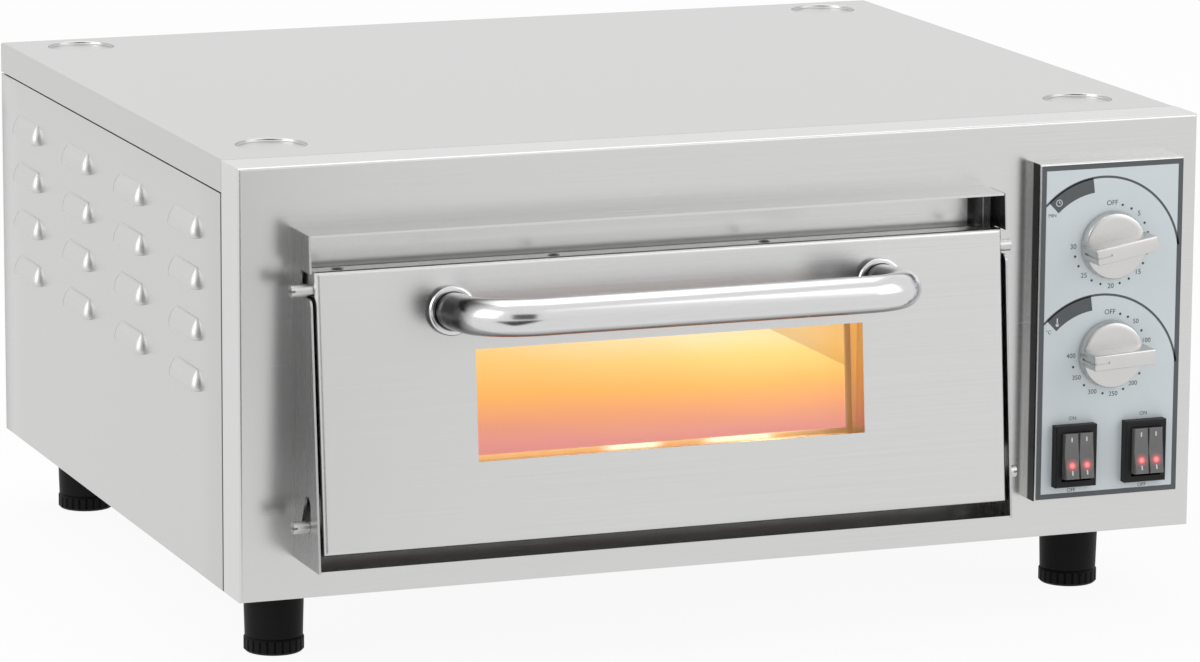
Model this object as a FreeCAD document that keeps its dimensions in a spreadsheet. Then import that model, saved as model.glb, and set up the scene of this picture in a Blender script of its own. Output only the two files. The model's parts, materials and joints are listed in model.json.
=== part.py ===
import FreeCAD, Part
import math
import operator
import os
import Sketcher
from FreeCAD import Placement, Rotation, Vector

# Electric countertop pizza oven with a bottom-hinged drop-down door.
# Casing frame: X to the right, Y to the back, Z up; X is zero in the middle of the casing,
# Y is zero on its front face and Z is zero on its underside. The part's own origin lies
# on the table, under the middle of the whole oven.

# Driving dimensions, in millimetres and degrees
SIZES = {
    # casing
    "body_width": 560,
    "body_depth": 470,
    "body_height": 235,
    "foot_height": 45,
    "sheet": 1.0,
    "seam": 0.3,
    "cover_seam": 0.9,
    "panel_bend": 1.5,
    "front_wrap": 29,
    "cover_skirt": 17.4,
    "panel_flange": 10,
    "tray_flange": 14,
    "dimple_radius": 19.5,
    "dimple_depth": 1.6,
    "dimple_bend": 0.75,
    # louvres of the side panels
    "louvre_length": 47,
    "louvre_rise": 12,
    "louvre_depth": 4.6,
    "louvre_top_inset": 4.5,
    "louvre_crest": 0.2,
    "louvre_lip": 1.0,
    "louvre_last_inset": 60.5,
    "louvre_pitch_up": 28,
    "louvre_first_back": 93,
    "louvre_drop": 37.5,
    # vents and cord gland of the back
    "vent_length": 46,
    "vent_width": 6,
    "vent_pitch": 16,
    "vent_inset": 65,
    "vent_drop": 45,
    "gland_inset": 45,
    "gland_z": 42,
    "gland_radius": 12,
    "gland_out": 13,
    "gland_neck_radius": 7.8,
    "gland_nut_radius": 11,
    "gland_nut": 5,
    "cord_bore": 9,
    # hood, cheeks and sill round the door
    "surround_left": 30,
    "surround_right": 129,
    "surround_drop": 33,
    "surround_sheet": 1.2,
    "hood_reach": 27.5,
    "sill_bottom": 23.4,
    "notch_back": 13,
    "notch_drop": 33.6,
    "notch_height": 13.6,
    "notch_corner": 3,
    "notch_lip": 4.5,
    "slot_rise": 16,
    "slot_top_radius": 5.2,
    "slot_set_back": 8.5,
    # door
    "door_tilt": 5.1,
    "door_play": 3,
    "door_head": 19.8,
    "door_below_pin": 14.6,
    "door_face": 15.5,
    "door_back": 12.5,
    "door_bend": 2.5,
    "skin_depth": 20.5,
    "pan_gap": 1.0,
    "pan_fit": 0.2,
    "hinge_z": 45.5,
    "latch_from_face": 6.5,
    "latch_drop": 10,
    "pin_radius": 3.3,
    "pin_play": 0.25,
    "pin_out": 9.0,
    "short_pin_out": 4.2,
    "pin_in": 6,
    "pin_nut_radius": 5,
    "pin_nut": 3.5,
    "slot_cut": 1.2,
    "slot_cut_depth": 2,
    "screw_inset": 15.4,
    "screw_radius": 1.5,
    "screw_head_radius": 3.7,
    "screw_head": 1.2,
    "screw_dome": 5,
    "screw_crown": 0.8,
    "screw_length": 5,
    "screw_from_face": 9,
    # window
    "window_side": 86,
    "window_share": 0.3985,
    "window_drop": 1.0,
    "window_offset": 2,
    "glass": 4,
    "glass_lap": 12,
    "reveal": 2,
    "frame_sheet": 1.2,
    "frame_flange": 7,
    "wool_margin": 9,
    "wool_gap": 1.5,
    # handle
    "handle_span": 246,
    "handle_over_glass": 9.8517,
    "handle_reach": 58,
    "handle_bend": 30,
    "tube_radius": 10,
    "tube_wall": 1.5,
    "tube_plug": 20,
    "rosette_radius": 13.5,
    "rosette": 5,
    "rosette_edge": 1.4,
    "handle_bolt_radius": 3,
    "handle_bolt_in": 16,
    "handle_bolt_head_radius": 5.5,
    "handle_bolt_head": 3.5,
    "thread_play": 0.1,
    # throat and baking chamber
    "mouth_side": 26.5,
    "mouth_bottom": 66,
    "mouth_drop": 34,
    "throat_sheet": 1.2,
    "throat_flange": 12,
    "seat_gap": 0.4,
    "chamber_beyond": 2,
    "chamber_behind": 80,
    "chamber_floor_z": 24,
    "chamber_drop": 49,
    "wool_side": 16,
    "wool_top": 30,
    "wool_back": 22,
    "wool_inset": 32,
    "shield_drop": 23,
    # stone and heating elements
    "stone_side": 6,
    "stone_rear": 20,
    "stone_front": 14,
    "stone": 15,
    "stone_chamfer": 2,
    "rail_leg": 16,
    "rail_drop": 6,
    "rail_sheet": 1.5,
    "element_radius": 4,
    "element_edge": 63,
    "element_wall_gap": 4,
    "element_drop": 11,
    "lower_element_z": 34,
    "element_out": 36,
    "bracket_sheet": 1.5,
    "bracket_inset": 110,
    "bracket_edge": 7,
    "bracket_play": 0.3,
    # lamp and temperature probe in the right chamber wall
    "lamp_drop": 58,
    "lamp_radius": 18,
    "lens_radius": 26,
    "lens_depth": 15,
    "lens_wall": 2,
    "lens_rim": 3,
    "lamp_holder_length": 42,
    "bulb_radius": 6,
    "bulb_length": 26,
    "probe_rear": 140,
    "probe_drop": 34,
    "probe_radius": 3,
    "probe_in": 70,
    "probe_out": 34,
    "probe_collar_radius": 7,
    "probe_collar": 3,
    "wall_hole_play": 0.3,
    # control panel
    "panel_inset": 58.5,
    "panel_width": 88,
    "panel_bottom": 24,
    "panel_over": 21,
    "panel_depth": 14,
    "panel_edge": 1.2,
    "panel_corner": 1.2,
    "panel_cutout_inset": 7,
    "fascia": 0.8,
    "fascia_inset": 0.9,
    "timer_drop": 47,
    "thermostat_shift": 2.75,
    "timer_rest": 260,
    "thermostat_rest": 267,
    "knob_radius": 19,
    "knob_skirt": 6,
    "knob_height": 21,
    "knob_lift": 0.6,
    "knob_wall": 1.8,
    "knob_edge": 1.2,
    "grip_width": 8.6,
    "grip_length": 38.4,
    "grip_taper": 4,
    "pointer_groove": 1.4,
    "pointer_length": 8.5,
    "pointer_depth": 0.8,
    "shaft_radius": 3,
    "shaft_play": 0.3,
    "neck_radius": 4.8,
    "hole_play": 0.2,
    "timer_body_side": 42,
    "timer_body_depth": 30,
    "body_corner": 4,
    "thermostat_body_side": 34,
    "thermostat_body_depth": 22,
    "thermostat_cap_radius": 14,
    "thermostat_cap": 8,
    # rocker switches
    "switch_spacing": 42.6,
    "switch_z": 49.5,
    "bezel_width": 25,
    "bezel_height": 35,
    "bezel": 6,
    "bezel_edge": 1.0,
    "switch_body_width": 21.6,
    "switch_body_height": 31.6,
    "switch_body_depth": 24,
    "well_width": 18,
    "well_height": 28,
    "well_depth": 13,
    "rocker_width": 8.6,
    "rocker_half": 12.8,
    "rocker_out": 10.2,
    "rocker_fold": 1.5,
    "rocker_tail": 3.4,
    "rocker_hub": 4,
    "rocker_tilt": 6,
    "pivot_radius": 1,
    "pivot_play": 0.2,
    "pivot_depth": 6,
    # feet
    "foot_inset": 41,
    "foot_front_y": 70,
    "foot_rear": 30,
    "foot_top_radius": 17,
    "foot_bottom_radius": 16,
    "foot_ring": 8.8,
    "foot_ring_radius": 16.6,
    "foot_ring_edge": 1.2,
    "foot_seam": 0.2,
    "stud_radius": 4,
    "stud_length": 24,
    "stud_play": 0.3,
    "spigot_radius": 5,
    "spigot_rise": 6,
    "serration": 0.9,
}

# Counts
LOUVRE_COLUMNS = 4
LOUVRE_ROWS = 4
VENT_SLOTS = 6
ELEMENT_RUNS = 4
DOOR_SCREWS = 4
SERRATIONS = 24

OPERATIONS = {"+": operator.add, "-": operator.sub, "*": operator.mul, "/": operator.truediv}

doc = FreeCAD.newDocument("pizza_oven")
sheet = doc.addObject("Spreadsheet::Sheet", "Sizes")
parts = []


class Size:
    """A length or angle: its value now and the sheet formula that gives it."""

    def __init__(self, value, formula):
        self.value = float(value)
        self.formula = formula

    def __add__(self, other):
        return combine(self, "+", other)

    def __radd__(self, other):
        return combine(other, "+", self)

    def __sub__(self, other):
        return combine(self, "-", other)

    def __rsub__(self, other):
        return combine(other, "-", self)

    def __mul__(self, other):
        return combine(self, "*", other)

    def __rmul__(self, other):
        return combine(other, "*", self)

    def __truediv__(self, other):
        return combine(self, "/", other)

    def __neg__(self):
        return combine(0, "-", self)


def as_size(number):
    """A plain number as a Size, or the Size itself."""
    return number if isinstance(number, Size) else Size(number, repr(number))


def combine(left, sign, right):
    left, right = as_size(left), as_size(right)
    value = OPERATIONS[sign](left.value, right.value)
    return Size(value, f"({left.formula} {sign} {right.formula})")


def sine(angle):
    return Size(math.sin(math.radians(angle.value)), f"sin({angle.formula})")


def cosine(angle):
    return Size(math.cos(math.radians(angle.value)), f"cos({angle.formula})")


def tangent(angle):
    return Size(math.tan(math.radians(angle.value)), f"tan({angle.formula})")


class SheetSizes:
    """The sheet's cells by name, each as a Size."""

    def __init__(self, sizes):
        for row, (name, value) in enumerate(sizes.items(), 1):
            sheet.set(f"A{row}", name)
            sheet.set(f"B{row}", str(value))
            sheet.setAlias(f"B{row}", name)
            setattr(self, name, Size(value, f"Sizes.{name}"))


S = SheetSizes(SIZES)
doc.recompute()

# Places that several sub-parts share
HALF = S.body_width / 2
PANEL_TOP = S.body_height - S.cover_skirt - S.cover_seam
PANEL_FRONT = S.front_wrap + S.seam
BACK_FACE = S.body_depth - S.sheet
FOOT_X = HALF - S.foot_inset
FOOT_BACK = S.body_depth - S.foot_rear
LOUVRE_TOP = S.body_height - S.louvre_drop
LOUVRE_PITCH = (S.body_depth - S.louvre_first_back - S.louvre_last_inset) / (LOUVRE_COLUMNS - 1)
VENT_X = HALF - S.vent_inset
VENT_TOP = S.body_height - S.vent_drop
GLAND_X = HALF - S.gland_inset

# Door and its surround
COS_TILT = cosine(S.door_tilt)
SIN_TILT = sine(S.door_tilt)
TAN_TILT = tangent(S.door_tilt)
MOUTH_X = (S.surround_left - S.surround_right) / 2
SURROUND_WIDTH = S.body_width - S.surround_left - S.surround_right
SURROUND_TOP = S.body_height - S.surround_drop
NOTCH_BOTTOM = SURROUND_TOP - S.notch_drop
CHEEK_OUTER = SURROUND_WIDTH / 2
CHEEK_INNER = CHEEK_OUTER - S.surround_sheet
SILL_TOP = S.sill_bottom + S.surround_sheet
DOOR_WIDTH = SURROUND_WIDTH - 2 * S.door_play
DOOR_ABOVE_PIN = SURROUND_TOP - S.hinge_z - S.door_head
LATCH_ABOVE_PIN = DOOR_ABOVE_PIN - S.latch_drop
WINDOW_WIDTH = DOOR_WIDTH - 2 * S.window_side
WINDOW_HEIGHT = (DOOR_ABOVE_PIN + S.door_below_pin) * S.window_share
WINDOW_ABOVE_PIN = (DOOR_ABOVE_PIN - S.door_below_pin) / 2 - S.window_drop
WINDOW_HIGH = WINDOW_ABOVE_PIN + WINDOW_HEIGHT / 2
HANDLE_ABOVE_PIN = WINDOW_HIGH + S.glass_lap + S.handle_over_glass
SCREW_SPACING = (DOOR_WIDTH - 2 * S.screw_inset) / (DOOR_SCREWS - 1)

# Throat, chamber and what hangs in it
MOUTH_WIDTH = SURROUND_WIDTH - 2 * S.mouth_side
MOUTH_TOP = SURROUND_TOP - S.mouth_drop
CHAMBER_HALF = CHEEK_OUTER + S.chamber_beyond
CHAMBER_DEPTH = S.body_depth - S.chamber_behind
CHAMBER_CEILING = S.body_height - S.chamber_drop
CHAMBER_FRONT = S.sheet + S.throat_sheet
CHAMBER_BACK = CHAMBER_FRONT + CHAMBER_DEPTH
CHAMBER_LEFT = MOUTH_X - CHAMBER_HALF
CHAMBER_RIGHT = MOUTH_X + CHAMBER_HALF
WALL_RIGHT = CHAMBER_RIGHT + S.sheet
WOOL_RIGHT = WALL_RIGHT + S.wool_side
SHIELD_TOP = S.body_height - S.shield_drop
STONE_BOTTOM = S.mouth_bottom - S.stone
STONE_WIDTH = 2 * (CHAMBER_HALF - S.stone_side)
STONE_DEPTH = CHAMBER_DEPTH - S.stone_front - S.stone_rear
ELEMENT_PITCH = (CHAMBER_DEPTH - 2 * S.element_edge) / (ELEMENT_RUNS - 1)
ELEMENT_END = ELEMENT_PITCH / 2 + S.element_radius + S.element_wall_gap
UPPER_ELEMENT_Z = CHAMBER_CEILING - S.element_drop
BRACKET_SPACING = 2 * (CHAMBER_HALF - S.bracket_inset)
LAMP_Y = S.body_depth / 2
LAMP_Z = CHAMBER_CEILING - S.lamp_drop
PROBE_Y = S.body_depth - S.probe_rear
PROBE_Z = CHAMBER_CEILING - S.probe_drop

# Control panel
PANEL_X = HALF - S.panel_inset
PANEL_HEIGHT = S.body_height - S.panel_bottom - S.panel_over
PANEL_FACE = -S.panel_depth
FASCIA_FACE = PANEL_FACE - S.fascia
TIMER_Z = S.panel_bottom + PANEL_HEIGHT - S.timer_drop
THERMOSTAT_Z = (TIMER_Z + S.switch_z) / 2 - S.thermostat_shift


def surround_front(height):
    """Y of the slanted front edge of the door surround at a height above the casing's underside."""
    return -(S.hood_reach + (SURROUND_TOP - height) * TAN_TILT)


HINGE_Y = surround_front(S.hinge_z) + S.door_face / COS_TILT


def door_back_plane(height):
    """Y of the closed door's back face at a height above the casing's underside."""
    return HINGE_Y + S.door_back / COS_TILT + (height - S.hinge_z) * TAN_TILT


HANDLE_AXIS = -(S.door_face + S.handle_reach)
FOREMOST = HINGE_Y + HANDLE_AXIS * COS_TILT + HANDLE_ABOVE_PIN * SIN_TILT - S.tube_radius
REARMOST = S.body_depth + S.gland_out
FRONT_Y = -(FOREMOST + REARMOST) / 2


def bind(thing, path, size):
    """Ties a property to the sheet formula of a size."""
    thing.setExpression(path, as_size(size).formula)


def place(body, x, y, z, axis=None, angle=None):
    """Places a sub-part in the oven's frame; x, y and z are in the casing frame."""
    if axis is not None:
        body.Placement = Placement(Vector(), Rotation(axis, angle.value))
        bind(body, "Placement.Rotation.Angle", angle)
    bind(body, "Placement.Base.x", x)
    bind(body, "Placement.Base.y", FRONT_Y + y)
    bind(body, "Placement.Base.z", S.foot_height + z)


def new_part(label):
    """A new named sub-part with its own body."""
    body = doc.addObject("PartDesign::Body", label)
    body.Label = label
    parts.append(body)
    return body


def casing_part(label):
    """A sub-part drawn in the casing frame."""
    body = new_part(label)
    place(body, 0, 0, 0)
    return body


def door_part(label):
    """A sub-part drawn in the door frame: on the hinge axis, Z up along the slanted door."""
    body = new_part(label)
    place(body, MOUTH_X, HINGE_Y, S.hinge_z, Vector(1, 0, 0), -S.door_tilt)
    return body


class Drawing:
    """A sketch on one of a body's origin planes, moved along the three axes of that plane."""

    def __init__(self, body, plane, along=0, across=0, up=0):
        self.sketch = body.newObject("Sketcher::SketchObject", "Sketch")
        role = f"{plane}_Plane"
        support = next(item for item in body.Origin.OriginFeatures if item.Role == role)
        self.sketch.AttachmentSupport = [(support, "")]
        self.sketch.MapMode = "FlatFace"
        # The normal of the XZ plane points to the front, against the Y axis
        self.against = plane == "XZ"
        bind(self.sketch, "AttachmentOffset.Base.x", across)
        bind(self.sketch, "AttachmentOffset.Base.y", up)
        bind(self.sketch, "AttachmentOffset.Base.z", -along if self.against else along)

    def limit(self, kind, size, *where):
        number = self.sketch.addConstraint(Sketcher.Constraint(kind, *where, as_size(size).value))
        bind(self.sketch, f"Constraints[{number}]", size)

    def fix(self, edge, point, across, up):
        self.limit("DistanceX", across, -1, 1, edge, point)
        self.limit("DistanceY", up, -1, 1, edge, point)

    def add_edge(self, start, end):
        """A line, or an arc where the end names a radius: positive turns left, negative right."""
        first = Vector(as_size(start[0]).value, as_size(start[1]).value, 0)
        last = Vector(as_size(end[0]).value, as_size(end[1]).value, 0)
        if len(end) == 2:
            return self.sketch.addGeometry(Part.LineSegment(first, last), False), 1, 2
        radius = as_size(end[2]).value
        chord = last - first
        aside = Vector(-chord.y, chord.x, 0).normalize() * math.copysign(1, radius)
        height = math.sqrt(max(radius ** 2 - (chord.Length / 2) ** 2, 0))
        center = (first + last) / 2 + aside * height
        angles = [math.atan2(point.y - center.y, point.x - center.x) for point in (first, last)]
        if radius < 0:
            angles.reverse()
        circle = Part.Circle(center, Vector(0, 0, 1), abs(radius))
        edge = self.sketch.addGeometry(Part.ArcOfCircle(circle, *angles), False)
        self.limit("Radius", end[2] if radius > 0 else -end[2], edge)
        return (edge, 1, 2) if radius > 0 else (edge, 2, 1)

    def outline(self, *corners):
        """A closed outline; the last corner joins the first one by a line or by its arc."""
        edges = [self.add_edge(corners[at - 1], corner) for at, corner in enumerate(corners)]
        for at, edge in enumerate(edges):
            following = edges[(at + 1) % len(edges)]
            self.sketch.addConstraint(
                Sketcher.Constraint("Coincident", edge[0], edge[2], following[0], following[1]))
            self.fix(edge[0], edge[2], *corners[at][:2])
        return self

    def box(self, left, low, right, high):
        return self.outline((left, low), (right, low), (right, high), (left, high))

    def box_about(self, across, up, width, height):
        left, low = across - width / 2, up - height / 2
        return self.box(left, low, left + width, low + height)

    def circle(self, across, up, radius):
        middle = Vector(as_size(across).value, as_size(up).value, 0)
        circle = Part.Circle(middle, Vector(0, 0, 1), as_size(radius).value)
        edge = self.sketch.addGeometry(circle, False)
        self.fix(edge, 3, across, up)
        self.limit("Radius", radius, edge)
        return self


def pad(body, drawing, length):
    """Adds the drawing's outline, thickened along the positive axis."""
    feature = body.newObject("PartDesign::Pad", "Pad")
    feature.Profile = drawing.sketch
    feature.Reversed = drawing.against
    bind(feature, "Length", length)
    return feature


def pocket(body, drawing, length):
    """Cuts the drawing's outline away along the positive axis."""
    feature = body.newObject("PartDesign::Pocket", "Pocket")
    feature.Profile = drawing.sketch
    feature.Reversed = not drawing.against
    bind(feature, "Length", length)
    return feature


def turn(body, drawing, axis="V_Axis", angle=360, backward=False):
    """Revolves the drawing's outline about an axis of its sketch."""
    feature = body.newObject("PartDesign::Revolution", "Revolution")
    feature.Profile = drawing.sketch
    feature.ReferenceAxis = (drawing.sketch, [axis])
    feature.Angle = angle
    feature.Reversed = backward
    return feature


def loft(body, kind, first, *others):
    """A ruled loft through drawings one above the other, added or cut."""
    feature = body.newObject(f"PartDesign::{kind}Loft", "Loft")
    feature.Profile = first.sketch
    feature.Sections = [drawing.sketch for drawing in others]
    feature.Ruled = True
    return feature


def edges_at(shape, **place_of_edge):
    """Names of the edges whose ends and middle all lie at the given coordinates."""
    names = []
    for number, edge in enumerate(shape.Edges, 1):
        points = [vertex.Point for vertex in edge.Vertexes]
        points.append(edge.valueAt((edge.FirstParameter + edge.LastParameter) / 2))
        if all(abs(getattr(point, axis) - as_size(value).value) < 0.01
               for point in points for axis, value in place_of_edge.items()):
            names.append(f"Edge{number}")
    return names


def dress(body, kind, size, *places):
    """Fillets or chamfers the edges at the given places of the body's newest feature."""
    doc.recompute()
    base = body.Tip
    names = []
    for where in places:
        names += edges_at(base.Shape, **where)
    feature = body.newObject(f"PartDesign::{kind}", kind)
    feature.Base = (base, sorted(set(names)))
    bind(feature, "Radius" if kind == "Fillet" else "Size", size)
    return feature


def grid(body, originals, plane_axes, counts, lengths):
    """Repeats features in a grid along two of the body's origin axes."""
    axes = {item.Role: item for item in body.Origin.OriginFeatures}
    feature = body.newObject("PartDesign::LinearPattern", "Grid")
    feature.Originals = originals
    feature.Direction = (axes[plane_axes[0]], [""])
    feature.Direction2 = (axes[plane_axes[1]], [""])
    feature.Occurrences, feature.Occurrences2 = counts
    bind(feature, "Length", lengths[0])
    bind(feature, "Length2", lengths[1])
    body.Tip = feature
    return feature


# Casing shells
def make_front_panel():
    body = casing_part("front_panel")
    pad(body, Drawing(body, "XZ").box(-HALF, 0, HALF, S.body_height), S.front_wrap)
    inside = Drawing(body, "XZ", along=S.sheet)
    inside.box(S.sheet - HALF, S.sheet, HALF - S.sheet, S.body_height - S.sheet)
    pocket(body, inside, S.front_wrap)
    dress(body, "Fillet", S.panel_bend, {"x": -HALF, "y": 0}, {"x": HALF, "y": 0},
          {"z": 0, "y": 0}, {"z": S.body_height, "y": 0})
    mouth = Drawing(body, "XZ")
    rim = S.throat_sheet + S.seam
    mouth.box(MOUTH_X - MOUTH_WIDTH / 2 - rim, S.mouth_bottom - rim,
              MOUTH_X + MOUTH_WIDTH / 2 + rim, MOUTH_TOP + rim)
    pocket(body, mouth, S.sheet)
    controls = Drawing(body, "XZ")
    controls.box_about(PANEL_X, S.panel_bottom + PANEL_HEIGHT / 2,
                       S.panel_width - 2 * S.panel_cutout_inset,
                       PANEL_HEIGHT - 2 * S.panel_cutout_inset)
    pocket(body, controls, S.sheet)


def make_side_panel(label, side):
    """A folded side panel with its field of pressed louvres; side is -1 on the left, 1 on the right."""
    body = casing_part(label)
    outer = HALF * side
    flange_start = outer if side < 0 else outer - S.panel_flange
    face = Drawing(body, "YZ", along=flange_start)
    face.box(PANEL_FRONT, 0, S.body_depth, PANEL_TOP)
    pad(body, face, S.panel_flange)
    inside_start = flange_start + S.sheet if side < 0 else flange_start
    inside = Drawing(body, "YZ", along=inside_start)
    inside.box(PANEL_FRONT + S.sheet, -S.sheet, S.body_depth - S.sheet, PANEL_TOP - S.sheet)
    pocket(body, inside, S.panel_flange - S.sheet)
    low = LOUVRE_TOP - S.louvre_rise
    middle = S.louvre_first_back
    half = S.louvre_length / 2
    top_half = half - S.louvre_top_inset
    skin = outer - S.sheet * side
    behind = skin - S.sheet * side

    def level(height, start, half_length, depth):
        """One level of a louvre in plan view: a flat bulge whose ends are quarter circles."""
        drawing = Drawing(body, "XY", along=height)
        tip, end = outer + depth * side, -depth * side
        return drawing.outline(
            (start, middle - half_length), (outer, middle - half_length),
            (tip, middle - half_length + depth, end), (tip, middle + half_length - depth),
            (outer, middle + half_length, end), (start, middle + half_length))

    lip = S.louvre_lip
    bulge = loft(body, "Additive", level(low, skin, half - lip, S.louvre_depth - lip),
                 level(low + lip, skin, half, S.louvre_depth),
                 level(LOUVRE_TOP, skin, top_half, S.louvre_crest))
    cut = loft(body, "Subtractive",
               level(low, behind, half - S.sheet - lip, S.louvre_depth - S.sheet - lip),
               level(low + lip, behind, half - S.sheet, S.louvre_depth - S.sheet),
               level(LOUVRE_TOP - 2 * S.sheet, behind, top_half, S.louvre_crest / 2))
    grid(body, [bulge, cut], ("Y_Axis", "Z_Axis"), (LOUVRE_COLUMNS, LOUVRE_ROWS),
         ((LOUVRE_COLUMNS - 1) * LOUVRE_PITCH, (LOUVRE_ROWS - 1) * S.louvre_pitch_up))
    body.Tip.Reversed2 = True


def make_back_panel():
    body = casing_part("back_panel")
    face = Drawing(body, "XZ", along=BACK_FACE - S.sheet)
    wide, narrow = HALF - S.sheet, HALF - S.panel_flange - S.seam
    step = PANEL_TOP - S.sheet - S.seam
    high = S.body_height - 2 * S.sheet - S.dimple_depth
    face.outline((-wide, 0), (wide, 0), (wide, step), (narrow, step), (narrow, high),
                 (-narrow, high), (-narrow, step), (-wide, step))
    pad(body, face, S.sheet)
    openings = Drawing(body, "XZ", along=BACK_FACE - S.sheet)
    openings.circle(GLAND_X, S.gland_z, S.gland_neck_radius + S.hole_play)
    half, end = S.vent_length / 2, S.vent_width / 2
    for slot in range(VENT_SLOTS):
        middle = VENT_TOP - slot * S.vent_pitch
        left, right = VENT_X - half, VENT_X + half
        openings.outline((left + end, middle - end, end), (right - end, middle - end),
                         (right, middle, end), (right - end, middle + end, end),
                         (left + end, middle + end), (left, middle, end))
    pocket(body, openings, S.sheet)


def make_base_tray():
    body = casing_part("base_tray")
    left, right = S.sheet - HALF, HALF - S.sheet
    front, back = PANEL_FRONT + S.sheet, BACK_FACE - S.sheet
    pad(body, Drawing(body, "XY").box(left, front, right, back), S.tray_flange)
    inside = Drawing(body, "XY", along=S.sheet)
    inside.box(left + S.sheet, front + S.sheet, right - S.sheet, back - S.sheet)
    pocket(body, inside, S.tray_flange)
    holes = Drawing(body, "XY")
    for x in (-FOOT_X, FOOT_X):
        for y in (S.foot_front_y, FOOT_BACK):
            holes.circle(x, y, S.spigot_radius + S.hole_play)
    pocket(body, holes, S.sheet)


def make_top_cover():
    body = casing_part("top_cover")
    low = S.body_height - S.cover_skirt
    outer = Drawing(body, "XY", along=low).box(-HALF, PANEL_FRONT, HALF, S.body_depth)
    pad(body, outer, S.cover_skirt)
    inside = Drawing(body, "XY", along=low)
    inside.box(S.sheet - HALF, PANEL_FRONT - S.sheet, HALF - S.sheet, S.body_depth - S.sheet)
    pocket(body, inside, S.cover_skirt - S.sheet)
    dress(body, "Fillet", S.panel_bend, {"x": -HALF, "z": S.body_height},
          {"x": HALF, "z": S.body_height}, {"y": S.body_depth, "z": S.body_height})
    bosses = Drawing(body, "XY", along=S.body_height - S.sheet - S.dimple_depth)
    dimples = Drawing(body, "XY", along=S.body_height - S.dimple_depth)
    for x in (-FOOT_X, FOOT_X):
        for y in (S.foot_front_y, FOOT_BACK):
            bosses.circle(x, y, S.dimple_radius + S.sheet)
            dimples.circle(x, y, S.dimple_radius)
    pad(body, bosses, S.dimple_depth + S.sheet / 2)
    pocket(body, dimples, S.dimple_depth)
    dress(body, "Fillet", S.dimple_bend, *[
        {"y": y, "z": S.body_height - depth}
        for y in (S.foot_front_y, FOOT_BACK) for depth in (0, S.dimple_depth)])


# Surround of the door
def make_hood():
    """The visor over the door: a flat plate between the cheeks with a slanted front edge."""
    body = casing_part("door_hood")
    top, low = SURROUND_TOP, SURROUND_TOP - S.surround_sheet
    profile = Drawing(body, "YZ", along=MOUTH_X - CHEEK_INNER)
    profile.outline((0, top), (surround_front(top), top), (surround_front(low), low), (0, low))
    pad(body, profile, 2 * CHEEK_INNER)


def make_cheek(label, side):
    """A side plate of the surround: open notch for the latch pin, kidney slot for the hinge pin."""
    body = casing_part(label)
    start = MOUTH_X + CHEEK_OUTER * side
    start = start if side < 0 else start - S.surround_sheet
    low, top = S.sill_bottom, SURROUND_TOP
    notch_low, notch_top = NOTCH_BOTTOM, NOTCH_BOTTOM + S.notch_height
    back, corner, lip = -S.notch_back, S.notch_corner, S.notch_lip
    plate = Drawing(body, "YZ", along=start)
    plate.outline(
        (0, low), (0, top), (surround_front(top), top), (surround_front(notch_top), notch_top),
        (back - corner, notch_top), (back, notch_top - corner, -corner),
        (back, notch_low + corner), (back - corner, notch_low, -corner),
        (surround_front(notch_low - lip) + lip, notch_low),
        (surround_front(notch_low - lip), notch_low - lip, lip), (surround_front(low), low))
    pad(body, plate, S.surround_sheet)
    fit = S.pin_radius + S.pin_play
    crown = S.slot_top_radius
    shoulder = S.hinge_z + S.slot_rise - crown
    front = HINGE_Y - fit
    rear = HINGE_Y + fit + S.slot_set_back
    slot = Drawing(body, "YZ", along=start)
    slot.outline(
        (HINGE_Y, S.hinge_z - fit, fit), (rear - fit, S.hinge_z - fit), (rear, S.hinge_z, fit),
        (front + 2 * crown, shoulder), (front + crown, shoulder + crown, crown),
        (front, shoulder, crown), (front, S.hinge_z))
    pocket(body, slot, S.surround_sheet)


def make_sill():
    body = casing_part("door_sill")
    plate = Drawing(body, "XY", along=S.sill_bottom)
    plate.box(MOUTH_X - CHEEK_INNER, surround_front(SILL_TOP), MOUTH_X + CHEEK_INNER, 0)
    pad(body, plate, S.surround_sheet)


# Baking chamber
def make_throat():
    """The tunnel from the chamber to the slanted seat that the door closes on."""
    body = casing_part("throat_frame")
    flange = Drawing(body, "XZ", along=S.sheet)
    edge = CHAMBER_HALF + S.throat_flange
    flange.box(MOUTH_X - edge, S.chamber_floor_z - S.throat_flange, MOUTH_X + edge,
               CHAMBER_CEILING + S.throat_flange)
    pad(body, flange, S.throat_sheet)
    half, wall = MOUTH_WIDTH / 2, S.throat_sheet
    reach = -door_back_plane(S.mouth_bottom - wall)
    tunnel = Drawing(body, "XZ", along=-reach)
    tunnel.box(MOUTH_X - half - wall, S.mouth_bottom - wall,
               MOUTH_X + half + wall, MOUTH_TOP + wall)
    pad(body, tunnel, reach + CHAMBER_FRONT)
    clear = Drawing(body, "XZ", along=-reach)
    clear.box(MOUTH_X - half, S.mouth_bottom, MOUTH_X + half, MOUTH_TOP)
    pocket(body, clear, reach + CHAMBER_FRONT)
    gap = S.seat_gap / COS_TILT
    low, high = S.mouth_bottom - 2 * wall, MOUTH_TOP + 2 * wall
    seat = Drawing(body, "YZ", along=MOUTH_X - half - 2 * wall)
    seat.outline((-reach - wall, low), (door_back_plane(low) + gap, low),
                 (door_back_plane(high) + gap, high), (-reach - wall, high))
    pocket(body, seat, MOUTH_WIDTH + 4 * wall)


def wall_holes(drawing, play):
    """Draws the holes for element legs, lamp and probe in a wall right of the chamber."""
    for height in (UPPER_ELEMENT_Z, S.lower_element_z):
        for run in (0, ELEMENT_RUNS - 1):
            drawing.circle(element_run_y(run), height, S.element_radius + play)
    drawing.circle(LAMP_Y, LAMP_Z, S.lamp_radius + play)
    drawing.circle(PROBE_Y, PROBE_Z, S.probe_radius + play)
    return drawing


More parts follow.
